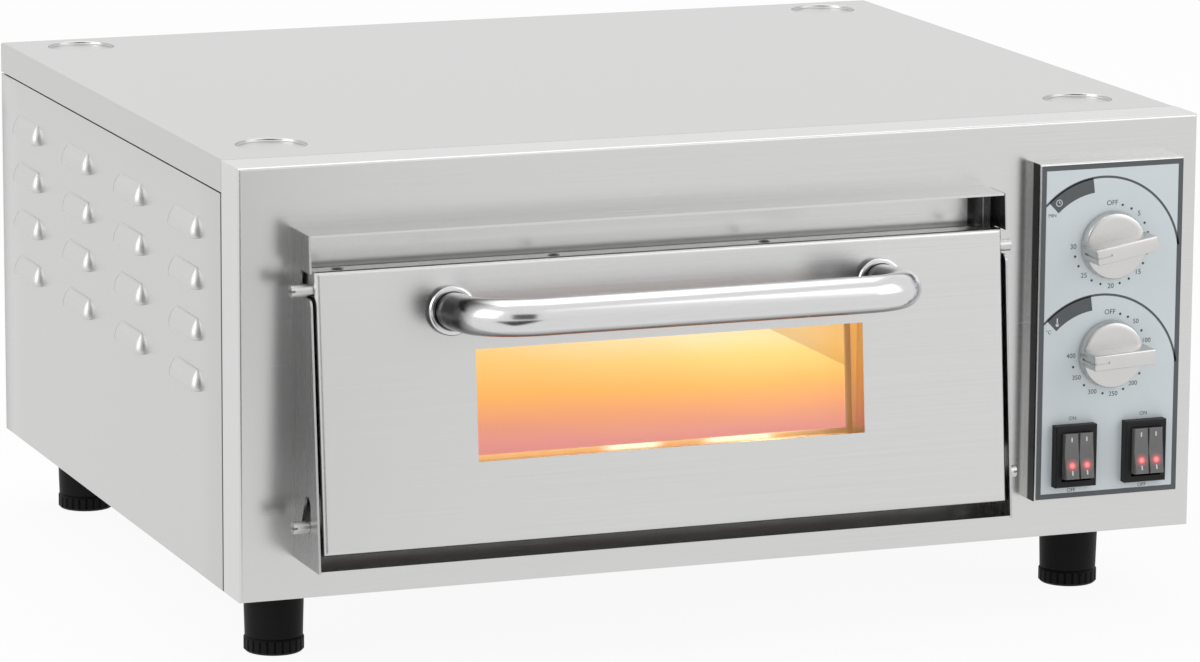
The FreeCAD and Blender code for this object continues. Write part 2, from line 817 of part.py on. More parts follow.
def make_chamber_wrap():
    """Both side walls and the ceiling of the chamber, folded from one sheet."""
    body = casing_part("chamber_wrap")
    low, high, wall = S.chamber_floor_z, CHAMBER_CEILING, S.sheet
    profile = Drawing(body, "XZ", along=CHAMBER_FRONT)
    profile.outline((CHAMBER_LEFT - wall, low), (CHAMBER_LEFT, low), (CHAMBER_LEFT, high),
                    (CHAMBER_RIGHT, high), (CHAMBER_RIGHT, low), (WALL_RIGHT, low),
                    (WALL_RIGHT, high + wall), (CHAMBER_LEFT - wall, high + wall))
    pad(body, profile, CHAMBER_DEPTH)
    pocket(body, wall_holes(Drawing(body, "YZ", along=CHAMBER_RIGHT), S.wall_hole_play), wall)


def make_chamber_ends():
    floor = casing_part("chamber_floor")
    plate = Drawing(floor, "XY", along=S.chamber_floor_z - S.sheet)
    plate.box(CHAMBER_LEFT - S.sheet, CHAMBER_FRONT, WALL_RIGHT, CHAMBER_BACK)
    pad(floor, plate, S.sheet)
    back = casing_part("chamber_back")
    plate = Drawing(back, "XZ", along=CHAMBER_BACK)
    plate.box(CHAMBER_LEFT - S.sheet, S.chamber_floor_z - S.sheet, WALL_RIGHT,
              CHAMBER_CEILING + S.sheet)
    pad(back, plate, S.sheet)


def make_insulation():
    ceiling = CHAMBER_CEILING + S.sheet
    floor = S.chamber_floor_z - S.sheet
    left = CHAMBER_LEFT - S.sheet
    top = casing_part("insulation_top")
    slab = Drawing(top, "XY", along=ceiling).box(left, CHAMBER_FRONT, WALL_RIGHT, CHAMBER_BACK)
    pad(top, slab, S.wool_top)
    bottom = casing_part("insulation_bottom")
    front = PANEL_FRONT + 2 * S.sheet
    slab = Drawing(bottom, "XY", along=S.sheet)
    slab.box(left + S.wool_inset, front, WALL_RIGHT - S.wool_inset, CHAMBER_BACK)
    pad(bottom, slab, floor - S.sheet)
    sides = casing_part("insulation_sides")
    high = ceiling + S.wool_top
    slab = Drawing(sides, "YZ", along=left - S.wool_side)
    slab.box(CHAMBER_FRONT, floor, CHAMBER_BACK, high)
    pad(sides, slab, S.wool_side)
    slab = Drawing(sides, "YZ", along=WALL_RIGHT).box(CHAMBER_FRONT, floor, CHAMBER_BACK, high)
    wall_holes(slab, S.wall_hole_play + S.probe_collar_radius - S.probe_radius)
    pad(sides, slab, S.wool_side)
    back = casing_part("insulation_back")
    slab = Drawing(back, "XZ", along=CHAMBER_BACK + S.sheet)
    slab.box(left - S.wool_side, floor, WOOL_RIGHT, high)
    pad(back, slab, S.wool_back)


def make_heat_shield():
    """The partition between the hot chamber and the controls."""
    body = casing_part("heat_shield")
    plate = Drawing(body, "YZ", along=WOOL_RIGHT)
    plate.box(PANEL_FRONT, S.tray_flange + S.sheet, BACK_FACE - S.sheet, SHIELD_TOP)
    wall_holes(plate, S.probe_collar_radius - S.probe_radius)
    pad(body, plate, S.sheet)
    foot = Drawing(body, "XY", along=S.sheet)
    foot.box(WOOL_RIGHT, PANEL_FRONT + 2 * S.sheet, WOOL_RIGHT + S.tray_flange,
             BACK_FACE - 2 * S.sheet)
    pad(body, foot, S.sheet)
    web = Drawing(body, "XY", along=S.sheet)
    web.box(WOOL_RIGHT, PANEL_FRONT + 2 * S.sheet, WOOL_RIGHT + S.sheet, BACK_FACE - 2 * S.sheet)
    pad(body, web, S.tray_flange + S.sheet)


# Stone, elements, lamp and probe
def make_stone():
    rails = casing_part("stone_rails")
    profile = Drawing(rails, "XZ", along=CHAMBER_FRONT)
    low = STONE_BOTTOM - S.rail_drop
    under = STONE_BOTTOM - S.rail_sheet
    for wall, inward in ((CHAMBER_LEFT, 1), (CHAMBER_RIGHT, -1)):
        corners = [(wall, low), (wall + S.rail_sheet * inward, low),
                   (wall + S.rail_sheet * inward, under), (wall + S.rail_leg * inward, under),
                   (wall + S.rail_leg * inward, STONE_BOTTOM), (wall, STONE_BOTTOM)]
        profile.outline(*corners)
    pad(rails, profile, CHAMBER_DEPTH)
    stone = casing_part("baking_stone")
    slab = Drawing(stone, "XY", along=STONE_BOTTOM)
    front = CHAMBER_FRONT + S.stone_front
    slab.box(MOUTH_X - STONE_WIDTH / 2, front, MOUTH_X + STONE_WIDTH / 2,
             front + STONE_DEPTH)
    pad(stone, slab, S.stone)
    dress(stone, "Chamfer", S.stone_chamfer, {"z": S.mouth_bottom})


def element_run_y(run):
    """Y of one straight run of a heating element."""
    middle = CHAMBER_FRONT + CHAMBER_DEPTH / 2
    return middle + (run - (ELEMENT_RUNS - 1) / 2) * ELEMENT_PITCH


def make_element(label, height):
    """A tubular heating element bent to and fro, with both legs out through the right wall."""
    body = casing_part(label)
    bend = ELEMENT_PITCH / 2
    left = CHAMBER_LEFT + ELEMENT_END
    right = CHAMBER_RIGHT - ELEMENT_END
    runs = Drawing(body, "YZ", along=left)
    legs = Drawing(body, "YZ", along=right)
    for run in range(ELEMENT_RUNS):
        runs.circle(element_run_y(run), height, S.element_radius)
    for run in (0, ELEMENT_RUNS - 1):
        legs.circle(element_run_y(run), height, S.element_radius)
    pad(body, runs, right - left)
    pad(body, legs, ELEMENT_END + S.element_out)
    for run in range(ELEMENT_RUNS - 1):
        leftward = run % 2 == 0
        section = Drawing(body, "YZ", along=left if leftward else right,
                          across=element_run_y(run) + bend)
        section.circle(-bend, height, S.element_radius)
        turn(body, section, angle=180, backward=leftward)


def make_brackets():
    """Four strips that the runs of the elements pass through: two hang, two stand."""
    body = casing_part("element_brackets")
    front = element_run_y(0) - S.element_radius - S.bracket_edge
    back = element_run_y(ELEMENT_RUNS - 1) + S.element_radius + S.bracket_edge
    over = S.element_radius + S.bracket_edge
    levels = ((UPPER_ELEMENT_Z, UPPER_ELEMENT_Z - over, CHAMBER_CEILING),
              (S.lower_element_z, S.chamber_floor_z, S.lower_element_z + over))
    for height, low, high in levels:
        for side in (-1, 1):
            strip = Drawing(body, "YZ", along=MOUTH_X + BRACKET_SPACING / 2 * side)
            strip.box(front, low, back, high)
            for run in range(ELEMENT_RUNS):
                strip.circle(element_run_y(run), height, S.element_radius + S.bracket_play)
            pad(body, strip, S.bracket_sheet)


def make_lamp():
    """Oven lamp in the right wall; every piece is turned about its axis along X."""
    holder = new_part("lamp_holder")
    lens = new_part("lamp_lens")
    bulb = new_part("lamp_bulb")
    for body in (holder, lens, bulb):
        place(body, CHAMBER_RIGHT, LAMP_Y, LAMP_Z)
    length, wall, rim = S.lamp_holder_length, S.lens_wall, S.lens_rim
    turn(holder, Drawing(holder, "XY").outline(
        (0, 0), (length, 0), (length, S.bulb_radius), (length - S.bulb_length / 2, S.lamp_radius),
        (-rim + wall, S.lamp_radius), (-rim + wall, S.lamp_radius - wall),
        (wall, S.lamp_radius - wall), (wall, S.bulb_radius), (0, S.bulb_radius)), "H_Axis")
    inner = S.lens_radius - wall
    crown = S.lens_radius / 2
    turn(lens, Drawing(lens, "XY").outline(
        (0, S.lamp_radius + S.wall_hole_play), (0, S.lens_radius), (-rim, S.lens_radius),
        (-S.lens_depth, crown), (-S.lens_depth, 0), (wall - S.lens_depth, 0),
        (wall - S.lens_depth, crown - wall / 2), (-rim, inner - wall),
        (-rim, S.lamp_radius + S.wall_hole_play)), "H_Axis")
    tip = -S.lens_depth + 2 * wall
    turn(bulb, Drawing(bulb, "XY").outline(
        (0, 0), (0, S.bulb_radius - wall), (tip / 2, S.bulb_radius), (tip, 0)), "H_Axis")


def make_probe():
    """Stem of the thermostat's sensor, with a collar on the outside of the chamber wall."""
    body = new_part("temperature_probe")
    place(body, WALL_RIGHT, PROBE_Y, PROBE_Z)
    turn(body, Drawing(body, "XY").outline(
        (-S.probe_in, 0), (S.probe_out, 0), (S.probe_out, S.probe_radius),
        (S.probe_collar, S.probe_radius), (S.probe_collar, S.probe_collar_radius),
        (0, S.probe_collar_radius), (0, S.probe_radius), (-S.probe_in, S.probe_radius)), "H_Axis")


# Control panel
def panel_holes(drawing):
    """Draws the holes for both dial necks and both switches."""
    for height in (TIMER_Z, THERMOSTAT_Z):
        drawing.circle(PANEL_X, height, S.neck_radius + S.hole_play)
    for side in (-1, 1):
        drawing.box_about(PANEL_X + S.switch_spacing / 2 * side, S.switch_z,
                          S.switch_body_width + 2 * S.hole_play,
                          S.switch_body_height + 2 * S.hole_play)
    return drawing


def make_control_panel():
    tray = casing_part("control_tray")
    middle = S.panel_bottom + PANEL_HEIGHT / 2
    box = Drawing(tray, "XZ", along=PANEL_FACE)
    box.box_about(PANEL_X, middle, S.panel_width, PANEL_HEIGHT)
    pad(tray, box, S.panel_depth)
    inside = Drawing(tray, "XZ", along=PANEL_FACE + S.panel_edge)
    inside.box_about(PANEL_X, middle, S.panel_width - 2 * S.panel_edge,
                     PANEL_HEIGHT - 2 * S.panel_edge)
    pocket(tray, inside, S.panel_depth)
    half = S.panel_width / 2
    dress(tray, "Fillet", S.panel_corner, {"x": PANEL_X - half, "y": PANEL_FACE},
          {"x": PANEL_X + half, "y": PANEL_FACE}, {"z": S.panel_bottom, "y": PANEL_FACE},
          {"z": S.panel_bottom + PANEL_HEIGHT, "y": PANEL_FACE})
    pocket(tray, panel_holes(Drawing(tray, "XZ", along=PANEL_FACE)), S.panel_edge)
    fascia = casing_part("control_fascia")
    face = Drawing(fascia, "XZ", along=FASCIA_FACE)
    face.box_about(PANEL_X, middle, S.panel_width - 2 * S.fascia_inset,
                   PANEL_HEIGHT - 2 * S.fascia_inset)
    pad(fascia, panel_holes(face), S.fascia)


def make_dial_body(label, height, side, depth):
    """Mechanism behind a dial: a boxy case with a neck through the panel and a bore for the shaft."""
    body = casing_part(label)
    front = PANEL_FACE + S.panel_edge
    case = Drawing(body, "XZ", along=front).box_about(PANEL_X, height, side, side)
    pad(body, case, depth)
    half = side / 2
    dress(body, "Fillet", S.body_corner, *[
        {"x": PANEL_X + half * across, "z": height + half * up}
        for across in (-1, 1) for up in (-1, 1)])
    neck = Drawing(body, "XZ", along=FASCIA_FACE).circle(PANEL_X, height, S.neck_radius)
    pad(body, neck, front - FASCIA_FACE)
    return body


def bore_dial_body(body, height, depth):
    bore = Drawing(body, "XZ", along=FASCIA_FACE)
    bore.circle(PANEL_X, height, S.shaft_radius + S.shaft_play)
    pocket(body, bore, PANEL_FACE - FASCIA_FACE + S.panel_edge + depth / 2)


def make_dials():
    timer = make_dial_body("timer_body", TIMER_Z, S.timer_body_side, S.timer_body_depth)
    bore_dial_body(timer, TIMER_Z, S.timer_body_depth)
    thermostat = make_dial_body("thermostat_body", THERMOSTAT_Z, S.thermostat_body_side,
                                S.thermostat_body_depth)
    back = PANEL_FACE + S.panel_edge + S.thermostat_body_depth
    cap = Drawing(thermostat, "XZ", along=back)
    pad(thermostat, cap.circle(PANEL_X, THERMOSTAT_Z, S.thermostat_cap_radius), S.thermostat_cap)
    bore_dial_body(thermostat, THERMOSTAT_Z, S.thermostat_body_depth)
    make_knob("timer", TIMER_Z, S.timer_rest, S.timer_body_depth)
    make_knob("thermostat", THERMOSTAT_Z, S.thermostat_rest, S.thermostat_body_depth)


def make_knob(name, height, rest, body_depth):
    """A skirted knob with a tall grip bar, drawn with its pointer up and turned to its rest."""
    knob = new_part(f"{name}_knob")
    shaft = new_part(f"{name}_shaft")
    for body in (knob, shaft):
        place(body, PANEL_X, FASCIA_FACE - S.knob_lift, height, Vector(0, 1, 0), rest)
    front = -S.knob_skirt
    turn(knob, Drawing(knob, "XY").outline(
        (0, front), (S.knob_radius - S.knob_edge, front), (S.knob_radius, 0),
        (S.knob_radius - S.knob_wall, 0), (S.knob_radius - 2 * S.knob_wall, front + S.knob_wall),
        (S.neck_radius + S.knob_wall, front + S.knob_wall), (S.neck_radius + S.knob_wall, 0),
        (0, 0)))
    grip = Drawing(knob, "XZ", along=-S.knob_height)
    half = S.grip_length / 2
    wide, narrow = S.grip_width / 2, (S.grip_width - S.grip_taper / 2) / 2
    grip.outline((-wide, half), (-narrow, -half), (narrow, -half), (wide, half))
    pad(knob, grip, S.knob_height - S.knob_skirt + S.knob_edge)
    dress(knob, "Fillet", S.pointer_depth, {"y": -S.knob_height})
    groove = Drawing(knob, "XZ", along=-S.knob_height)
    groove.box(-S.pointer_groove / 2, half - S.pointer_length, S.pointer_groove / 2,
               half + S.pointer_depth)
    pocket(knob, groove, S.pointer_depth)
    end_groove = Drawing(knob, "XZ", along=-S.knob_height)
    end_groove.box(-S.pointer_groove / 2, half - S.pointer_depth, S.pointer_groove / 2,
                   half + S.pointer_depth)
    pocket(knob, end_groove, S.knob_height - S.knob_skirt)
    bore = Drawing(knob, "XZ", along=-S.knob_height / 2)
    pocket(knob, bore.circle(0, 0, S.shaft_radius + S.thread_play), S.knob_height / 2)
    reach = S.knob_lift + S.fascia + S.panel_edge + body_depth / 3
    rod = Drawing(shaft, "XZ", along=-S.knob_height / 2).circle(0, 0, S.shaft_radius)
    pad(shaft, rod, S.knob_height / 2 + reach)


def make_switch(label, side):
    """A twin rocker switch: snap-in body, raised bezel, open well and a pivot bar across it."""
    housing = casing_part(f"{label}_switch_housing")
    x = PANEL_X + S.switch_spacing / 2 * side
    rim = FASCIA_FACE - S.bezel
    bezel = Drawing(housing, "XZ", along=rim).box_about(x, S.switch_z, S.bezel_width, S.bezel_height)
    pad(housing, bezel, S.bezel)
    dress(housing, "Fillet", S.bezel_edge, {"y": rim})
    case = Drawing(housing, "XZ", along=FASCIA_FACE)
    case.box_about(x, S.switch_z, S.switch_body_width, S.switch_body_height)
    pad(housing, case, S.switch_body_depth)
    well = Drawing(housing, "XZ", along=rim).box_about(x, S.switch_z, S.well_width, S.well_height)
    pocket(housing, well, S.well_depth)
    pivot_y = rim + S.pivot_depth
    bar = Drawing(housing, "YZ", along=x - S.well_width / 2 - S.pivot_radius)
    pad(housing, bar.circle(pivot_y, S.switch_z, S.pivot_radius), S.well_width + 2 * S.pivot_radius)
    for name, hand in (("left", -1), ("right", 1)):
        rocker = new_part(f"{label}_switch_{name}_rocker")
        place(rocker, x, pivot_y, S.switch_z, Vector(1, 0, 0), -S.rocker_tilt)
        middle = S.well_width / 4 * hand
        cap = Drawing(rocker, "YZ", along=middle - S.rocker_width / 2)
        front, tall = -S.rocker_out, S.rocker_half
        cap.outline((front, -tall), (front + S.rocker_fold, 0), (front, tall), (0, tall),
                    (S.rocker_tail, S.rocker_hub), (S.rocker_tail, -S.rocker_hub), (0, -tall))
        pad(rocker, cap, S.rocker_width)
        bore = Drawing(rocker, "YZ", along=middle - S.rocker_width / 2)
        pocket(rocker, bore.circle(0, 0, S.pivot_radius + S.pivot_play), S.rocker_width)


def make_gland():
    """Cord gland of the back: dome outside, nut inside, open bore."""
    body = new_part("cable_gland")
    place(body, GLAND_X, BACK_FACE, S.gland_z)
    neck, bore = S.gland_neck_radius, S.cord_bore / 2
    out = S.gland_out + S.sheet
    turn(body, Drawing(body, "XY").outline(
        (bore, -S.sheet - S.gland_nut), (S.gland_nut_radius, -S.sheet - S.gland_nut),
        (S.gland_nut_radius, -S.sheet), (neck, -S.sheet), (neck, 0), (S.gland_radius, 0),
        (S.gland_radius, out / 2), (neck, out), (bore, out)))


# Feet
def make_feet():
    sleeves = casing_part("foot_sleeves")
    low = S.foot_ring + S.foot_seam - S.foot_height
    bore = S.stud_radius + S.stud_play
    bore_top = S.foot_ring + S.stud_length + S.stud_play - S.foot_height
    profile = Drawing(sleeves, "XZ", along=S.foot_front_y, across=-FOOT_X)
    profile.outline((0, bore_top), (bore, bore_top), (bore, low), (S.foot_bottom_radius, low),
                    (S.foot_top_radius, 0), (S.spigot_radius, 0), (S.spigot_radius, S.spigot_rise),
                    (0, S.spigot_rise))
    grid(sleeves, [turn(sleeves, profile)], ("X_Axis", "Y_Axis"), (2, 2),
         (2 * FOOT_X, FOOT_BACK - S.foot_front_y))
    corners = {"front_left": (-FOOT_X, S.foot_front_y), "front_right": (FOOT_X, S.foot_front_y),
               "back_left": (-FOOT_X, FOOT_BACK), "back_right": (FOOT_X, FOOT_BACK)}
    for name, (x, y) in corners.items():
        make_foot_adjuster(f"foot_adjuster_{name}", x, y)


def make_foot_adjuster(label, x, y):
    """The screw-in end of a foot: a serrated ring that carries a stud."""
    body = new_part(label)
    place(body, x, y, -S.foot_height)
    ring, edge = S.foot_ring_radius, S.foot_ring_edge
    turn(body, Drawing(body, "XZ").outline(
        (0, 0), (ring - edge, 0), (ring, edge), (ring, S.foot_ring - edge),
        (ring - edge, S.foot_ring), (S.stud_radius, S.foot_ring),
        (S.stud_radius, S.foot_ring + S.stud_length), (0, S.foot_ring + S.stud_length)))
    notch = Drawing(body, "XY", along=edge)
    notch.outline((ring - S.serration, 0), (ring + S.serration, -2 * S.serration),
                  (ring + S.serration, 2 * S.serration))
    cut = pocket(body, notch, S.foot_ring - 2 * edge)
    axes = {item.Role: item for item in body.Origin.OriginFeatures}
    around = body.newObject("PartDesign::PolarPattern", "Serrations")
    around.Originals = [cut]
    around.Axis = (axes["Z_Axis"], [""])
    around.Angle = 360
    around.Occurrences = SERRATIONS
    body.Tip = around


# Door
def pin_holes(drawing):
    """Draws the holes of the hinge pins and latch pins, seen from the side."""
    radius = S.pin_radius + S.hole_play
    drawing.circle(0, 0, radius)
    drawing.circle(S.latch_from_face - S.door_face, LATCH_ABOVE_PIN, radius)
    return drawing


def screw_places():
    """X of each screw along the door's top."""
    return [(number - (DOOR_SCREWS - 1) / 2) * SCREW_SPACING for number in range(DOOR_SCREWS)]


def make_door_shell(label, inset, front, depth, open_front):
    """A pan of the door: face sheet, folded edges, window, pin holes and screw holes."""
    body = door_part(label)
    half = DOOR_WIDTH / 2 - inset
    low, high = inset - S.door_below_pin, DOOR_ABOVE_PIN - inset
    wall = S.sheet
    block = Drawing(body, "XZ", along=front).box(-half, low, half, high)
    pad(body, block, depth)
    inside = Drawing(body, "XZ", along=front if open_front else front + wall)
    inside.box(wall - half, low + wall, half - wall, high - wall)
    pocket(body, inside, depth - wall)
    face, bend = (front + depth, front + depth - wall) if open_front else (front, front + wall)
    dress(body, "Fillet", S.door_bend - wall, {"y": bend})
    dress(body, "Fillet", S.door_bend, {"y": face})
    window = Drawing(body, "XZ", along=front)
    window.box_about(S.window_offset, WINDOW_ABOVE_PIN, WINDOW_WIDTH, WINDOW_HEIGHT)
    pocket(body, window, depth)
    pocket(body, pin_holes(Drawing(body, "YZ", along=-DOOR_WIDTH)), 2 * DOOR_WIDTH)
    holes = Drawing(body, "XY", along=DOOR_ABOVE_PIN - S.screw_length)
    for x in screw_places():
        holes.circle(x, S.screw_from_face - S.door_face, S.screw_radius + S.hole_play)
    pocket(body, holes, S.screw_length)
    return body


def make_door():
    skin = make_door_shell("door_skin", as_size(0), -S.door_face, S.skin_depth, False)
    bolts = Drawing(skin, "XZ", along=-S.door_face)
    for side in (-1, 1):
        bolts.circle(S.handle_span / 2 * side, HANDLE_ABOVE_PIN, S.handle_bolt_radius + S.hole_play)
    pocket(skin, bolts, S.sheet)
    pan_front = S.sheet + S.pan_gap - S.door_face
    make_door_shell("door_pan", S.sheet + S.pan_fit, pan_front, S.door_back - pan_front, True)
    make_window()
    make_door_wool()
    make_handle()
    make_door_fasteners()


def make_window():
    front = S.sheet - S.door_face
    back = S.door_back - S.sheet
    lap = 2 * S.glass_lap
    for label, start in (("outer_glass", front), ("inner_glass", back - S.glass)):
        body = door_part(label)
        pane = Drawing(body, "XZ", along=start)
        pane.box_about(S.window_offset, WINDOW_ABOVE_PIN, WINDOW_WIDTH + lap,
                       WINDOW_HEIGHT + lap)
        pad(body, pane, S.glass)
    frame = door_part("window_frame")
    rim, wall, edge = 2 * S.reveal, 2 * S.frame_sheet, 2 * S.frame_flange
    start, end = front + S.glass, back - S.glass

    def ring(along, outer, length):
        drawing = Drawing(frame, "XZ", along=along)
        drawing.box_about(S.window_offset, WINDOW_ABOVE_PIN, WINDOW_WIDTH + outer,
                          WINDOW_HEIGHT + outer)
        drawing.box_about(S.window_offset, WINDOW_ABOVE_PIN, WINDOW_WIDTH + rim,
                          WINDOW_HEIGHT + rim)
        pad(frame, drawing, length)

    ring(start, rim + wall, end - start)
    ring(start, rim + wall + edge, S.frame_sheet)
    ring(end - S.frame_sheet, rim + wall + edge, S.frame_sheet)


def make_door_wool():
    """Insulation between both pans, open round the window, pins and handle bolts."""
    body = door_part("door_insulation")
    front = S.sheet + S.pan_gap - S.door_face
    back = S.door_back - S.sheet
    half = DOOR_WIDTH / 2 - S.wool_margin
    lap = 2 * (S.glass_lap + S.wool_gap)
    pad_outline = Drawing(body, "XZ", along=front)
    pad_outline.box(-half, S.wool_margin - S.door_below_pin, half, DOOR_ABOVE_PIN - S.wool_margin)
    pad_outline.box_about(S.window_offset, WINDOW_ABOVE_PIN, WINDOW_WIDTH + lap,
                          WINDOW_HEIGHT + lap)
    pad(body, pad_outline, back - front)
    bolt_holes = Drawing(body, "XZ", along=front)
    for side in (-1, 1):
        bolt_holes.circle(S.handle_span / 2 * side, HANDLE_ABOVE_PIN,
                          S.handle_bolt_head_radius + S.wool_gap)
    pocket(body, bolt_holes, back - front)


def make_handle():
    tube = door_part("handle_tube")
    half, bend, front = S.handle_span / 2, S.handle_bend, -S.door_face
    height = HANDLE_ABOVE_PIN
    bore = S.tube_radius - S.tube_wall

    def section(drawing, across):
        return drawing.circle(across, height, S.tube_radius).circle(across, height, bore)

    legs = section(Drawing(tube, "XZ", along=HANDLE_AXIS + bend), -half)
    pad(tube, section(legs, half), S.handle_reach - bend)
    grip = Drawing(tube, "YZ", along=bend - half)
    pad(tube, section(grip, HANDLE_AXIS), 2 * (half - bend))
    for end, leftward in ((bend - half, True), (half - bend, False)):
        corner = Drawing(tube, "YZ", along=end, across=HANDLE_AXIS + bend)
        turn(tube, section(corner, -bend), angle=90, backward=leftward)
    plugs = Drawing(tube, "XZ", along=front - S.tube_plug)
    threads = Drawing(tube, "XZ", along=front - S.handle_bolt_in - S.thread_play)
    rosettes = door_part("handle_rosettes")
    hole = S.tube_radius + S.thread_play
    shoulder = S.rosette_radius - S.rosette_edge
    bolts = door_part("handle_bolts")
    shanks = Drawing(bolts, "XZ", along=front - S.handle_bolt_in)
    heads = Drawing(bolts, "XZ", along=front + S.sheet)
    for side in (-1, 1):
        plugs.circle(half * side, height, S.tube_radius - S.tube_wall / 2)
        threads.circle(half * side, height, S.handle_bolt_radius + S.thread_play)
        ring = Drawing(rosettes, "XY", along=height, across=half * side)
        turn(rosettes, ring.outline(
            (hole, front), (hole, front - S.rosette), (shoulder, front - S.rosette),
            (S.rosette_radius, front - S.rosette + S.rosette_edge, S.rosette_edge),
            (S.rosette_radius, front)))
        shanks.circle(half * side, height, S.handle_bolt_radius)
        heads.circle(half * side, height, S.handle_bolt_head_radius)
    pad(tube, plugs, S.tube_plug)
    pocket(tube, threads, S.handle_bolt_in + S.thread_play)
    pad(bolts, shanks, S.handle_bolt_in + S.sheet)
    pad(bolts, heads, S.handle_bolt_head)


def make_door_fasteners():
    pins = door_part("door_pins")
    inner = DOOR_WIDTH / 2 - 2 * S.sheet - S.pan_fit
    hinge, latch = (0, 0), (S.latch_from_face - S.door_face, LATCH_ABOVE_PIN)
    screwed_out = ((-1, hinge, S.pin_out), (1, hinge, S.pin_out),
                   (-1, latch, S.pin_out), (1, latch, S.short_pin_out))
    for side, (y, z), out in screwed_out:
        tip = CHEEK_OUTER + out
        shank = Drawing(pins, "YZ", along=-tip if side < 0 else inner - S.pin_in)
        pad(pins, shank.circle(y, z, S.pin_radius), tip - inner + S.pin_in)
        nut = Drawing(pins, "YZ", along=-inner if side < 0 else inner - S.pin_nut)
        pad(pins, nut.circle(y, z, S.pin_nut_radius), S.pin_nut)
        slot = Drawing(pins, "YZ", along=-tip if side < 0 else tip - S.slot_cut_depth)
        slot.box_about(as_size(y), as_size(z), 2 * S.pin_nut_radius, S.slot_cut)
        pocket(pins, slot, S.slot_cut_depth)
    screws = door_part("door_screws")
    top = DOOR_ABOVE_PIN
    for x in screw_places():
        profile = Drawing(screws, "XZ", along=S.screw_from_face - S.door_face, across=x)
        turn(screws, profile.outline(
            (0, top - S.screw_length), (S.screw_radius, top - S.screw_length),
            (S.screw_radius, top), (S.screw_head_radius, top),
            (S.screw_crown, top + S.screw_head, S.screw_dome), (0, top + S.screw_head)))


def check_and_write():
    """Stops on any failed feature or bad shape, then writes one file per sub-part."""
    doc.recompute()
    for item in doc.Objects:
        if "Invalid" in item.State or "Error" in item.State:
            raise RuntimeError(f"{item.Name} ({item.Label}) failed: {item.State}")
    for body in parts:
        if body.Shape.isNull() or not body.Shape.isValid() or not body.Shape.Solids:
            raise RuntimeError(f"{body.Label} has no valid solid")
    os.makedirs("parts", exist_ok=True)
    for body in parts:
        body.Shape.exportStep(f"parts/{body.Label}.step")
        print(f"{body.Label}: {len(body.Shape.Solids)} solids, {body.Shape.Volume:.0f} mm3")


make_front_panel()
make_side_panel("left_side_panel", -1)
make_side_panel("right_side_panel", 1)
make_back_panel()
make_base_tray()
make_top_cover()
make_hood()
make_cheek("left_cheek", -1)
make_cheek("right_cheek", 1)
make_sill()
make_throat()
make_chamber_wrap()
make_chamber_ends()
make_insulation()
make_heat_shield()
make_stone()
make_element("upper_heating_element", UPPER_ELEMENT_Z)
make_element("lower_heating_element", S.lower_element_z)
make_brackets()
make_lamp()
make_probe()
make_control_panel()
make_dials()
make_switch("left", -1)
make_switch("right", 1)
make_gland()
make_feet()
make_door()
check_and_write()
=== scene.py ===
# %% [markdown]
# # A countertop pizza oven, dressed in Blender
#
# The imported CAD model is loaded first, as a fixed frame: every sheet, pane and pin already has
# its true size and place. This lesson gives those solids their finishes, models anew the few
# pieces that live from soft highlights, prints the control panel, and lights the oven.

# %% Load the frame
import json
import math

import bmesh
import bpy
from mathutils import Matrix, Vector


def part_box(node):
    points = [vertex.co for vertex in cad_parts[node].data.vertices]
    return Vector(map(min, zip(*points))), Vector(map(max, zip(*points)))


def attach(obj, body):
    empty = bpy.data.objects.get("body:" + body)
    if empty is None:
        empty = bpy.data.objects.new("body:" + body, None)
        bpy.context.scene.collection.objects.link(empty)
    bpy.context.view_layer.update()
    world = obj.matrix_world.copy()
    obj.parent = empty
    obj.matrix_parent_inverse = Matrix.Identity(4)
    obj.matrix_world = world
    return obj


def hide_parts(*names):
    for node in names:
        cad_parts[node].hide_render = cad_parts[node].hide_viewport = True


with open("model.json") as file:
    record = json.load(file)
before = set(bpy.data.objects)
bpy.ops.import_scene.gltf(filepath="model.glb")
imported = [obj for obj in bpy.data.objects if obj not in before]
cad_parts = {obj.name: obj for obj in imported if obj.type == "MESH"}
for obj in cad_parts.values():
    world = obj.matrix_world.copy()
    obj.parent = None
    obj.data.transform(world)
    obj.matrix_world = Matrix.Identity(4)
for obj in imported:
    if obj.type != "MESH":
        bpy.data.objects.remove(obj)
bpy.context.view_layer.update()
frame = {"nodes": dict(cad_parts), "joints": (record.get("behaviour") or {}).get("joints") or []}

scene = bpy.context.scene
nodes = frame["nodes"]
joints = {joint["name"]: joint for joint in frame["joints"]}

# %% [markdown]
# ## The camera
#
# The photograph was taken from far away with a long lens, a little above the oven and to its
# left. Fitting the straight edges of the casing gives the lens and the standpoint. The picture's
# middle is the lens's middle, so the camera needs no shift.

# %% Camera
STANDPOINT = Vector((-1.2138, -3.1751, 0.8187))
LOOK = Vector((0.3495, 0.9162, -0.1962))
ROLL = math.radians(0.33)


def put(name, data):
    """Puts data into the scene as an object."""
    thing = bpy.data.objects.new(name, data)
    scene.collection.objects.link(thing)
    return thing


lens = bpy.data.cameras.new("photo_camera")
lens.sensor_fit = "HORIZONTAL"
lens.sensor_width = 36.0
lens.lens = 180.9
lens.clip_end = 60.0
camera = put("photo_camera", lens)
aim = LOOK.to_track_quat("-Z", "Y").to_matrix().to_4x4()
camera.matrix_world = Matrix.Translation(STANDPOINT) @ aim @ Matrix.Rotation(ROLL, 4, "Z")
scene.camera = camera
print("camera", tuple(round(value, 3) for value in STANDPOINT), "lens", lens.lens)

# %% [markdown]
# ## Room, floor and light
#
# A product studio is mostly white: a pale floor that runs out of the picture, a bright room
# around it and a few large soft lamps. Steel has hardly a colour of its own, it shows the room,
# so the room is white for reflected rays and a little dimmer for the light that it gives.

# %% Room
scene.view_settings.view_transform = "Standard"


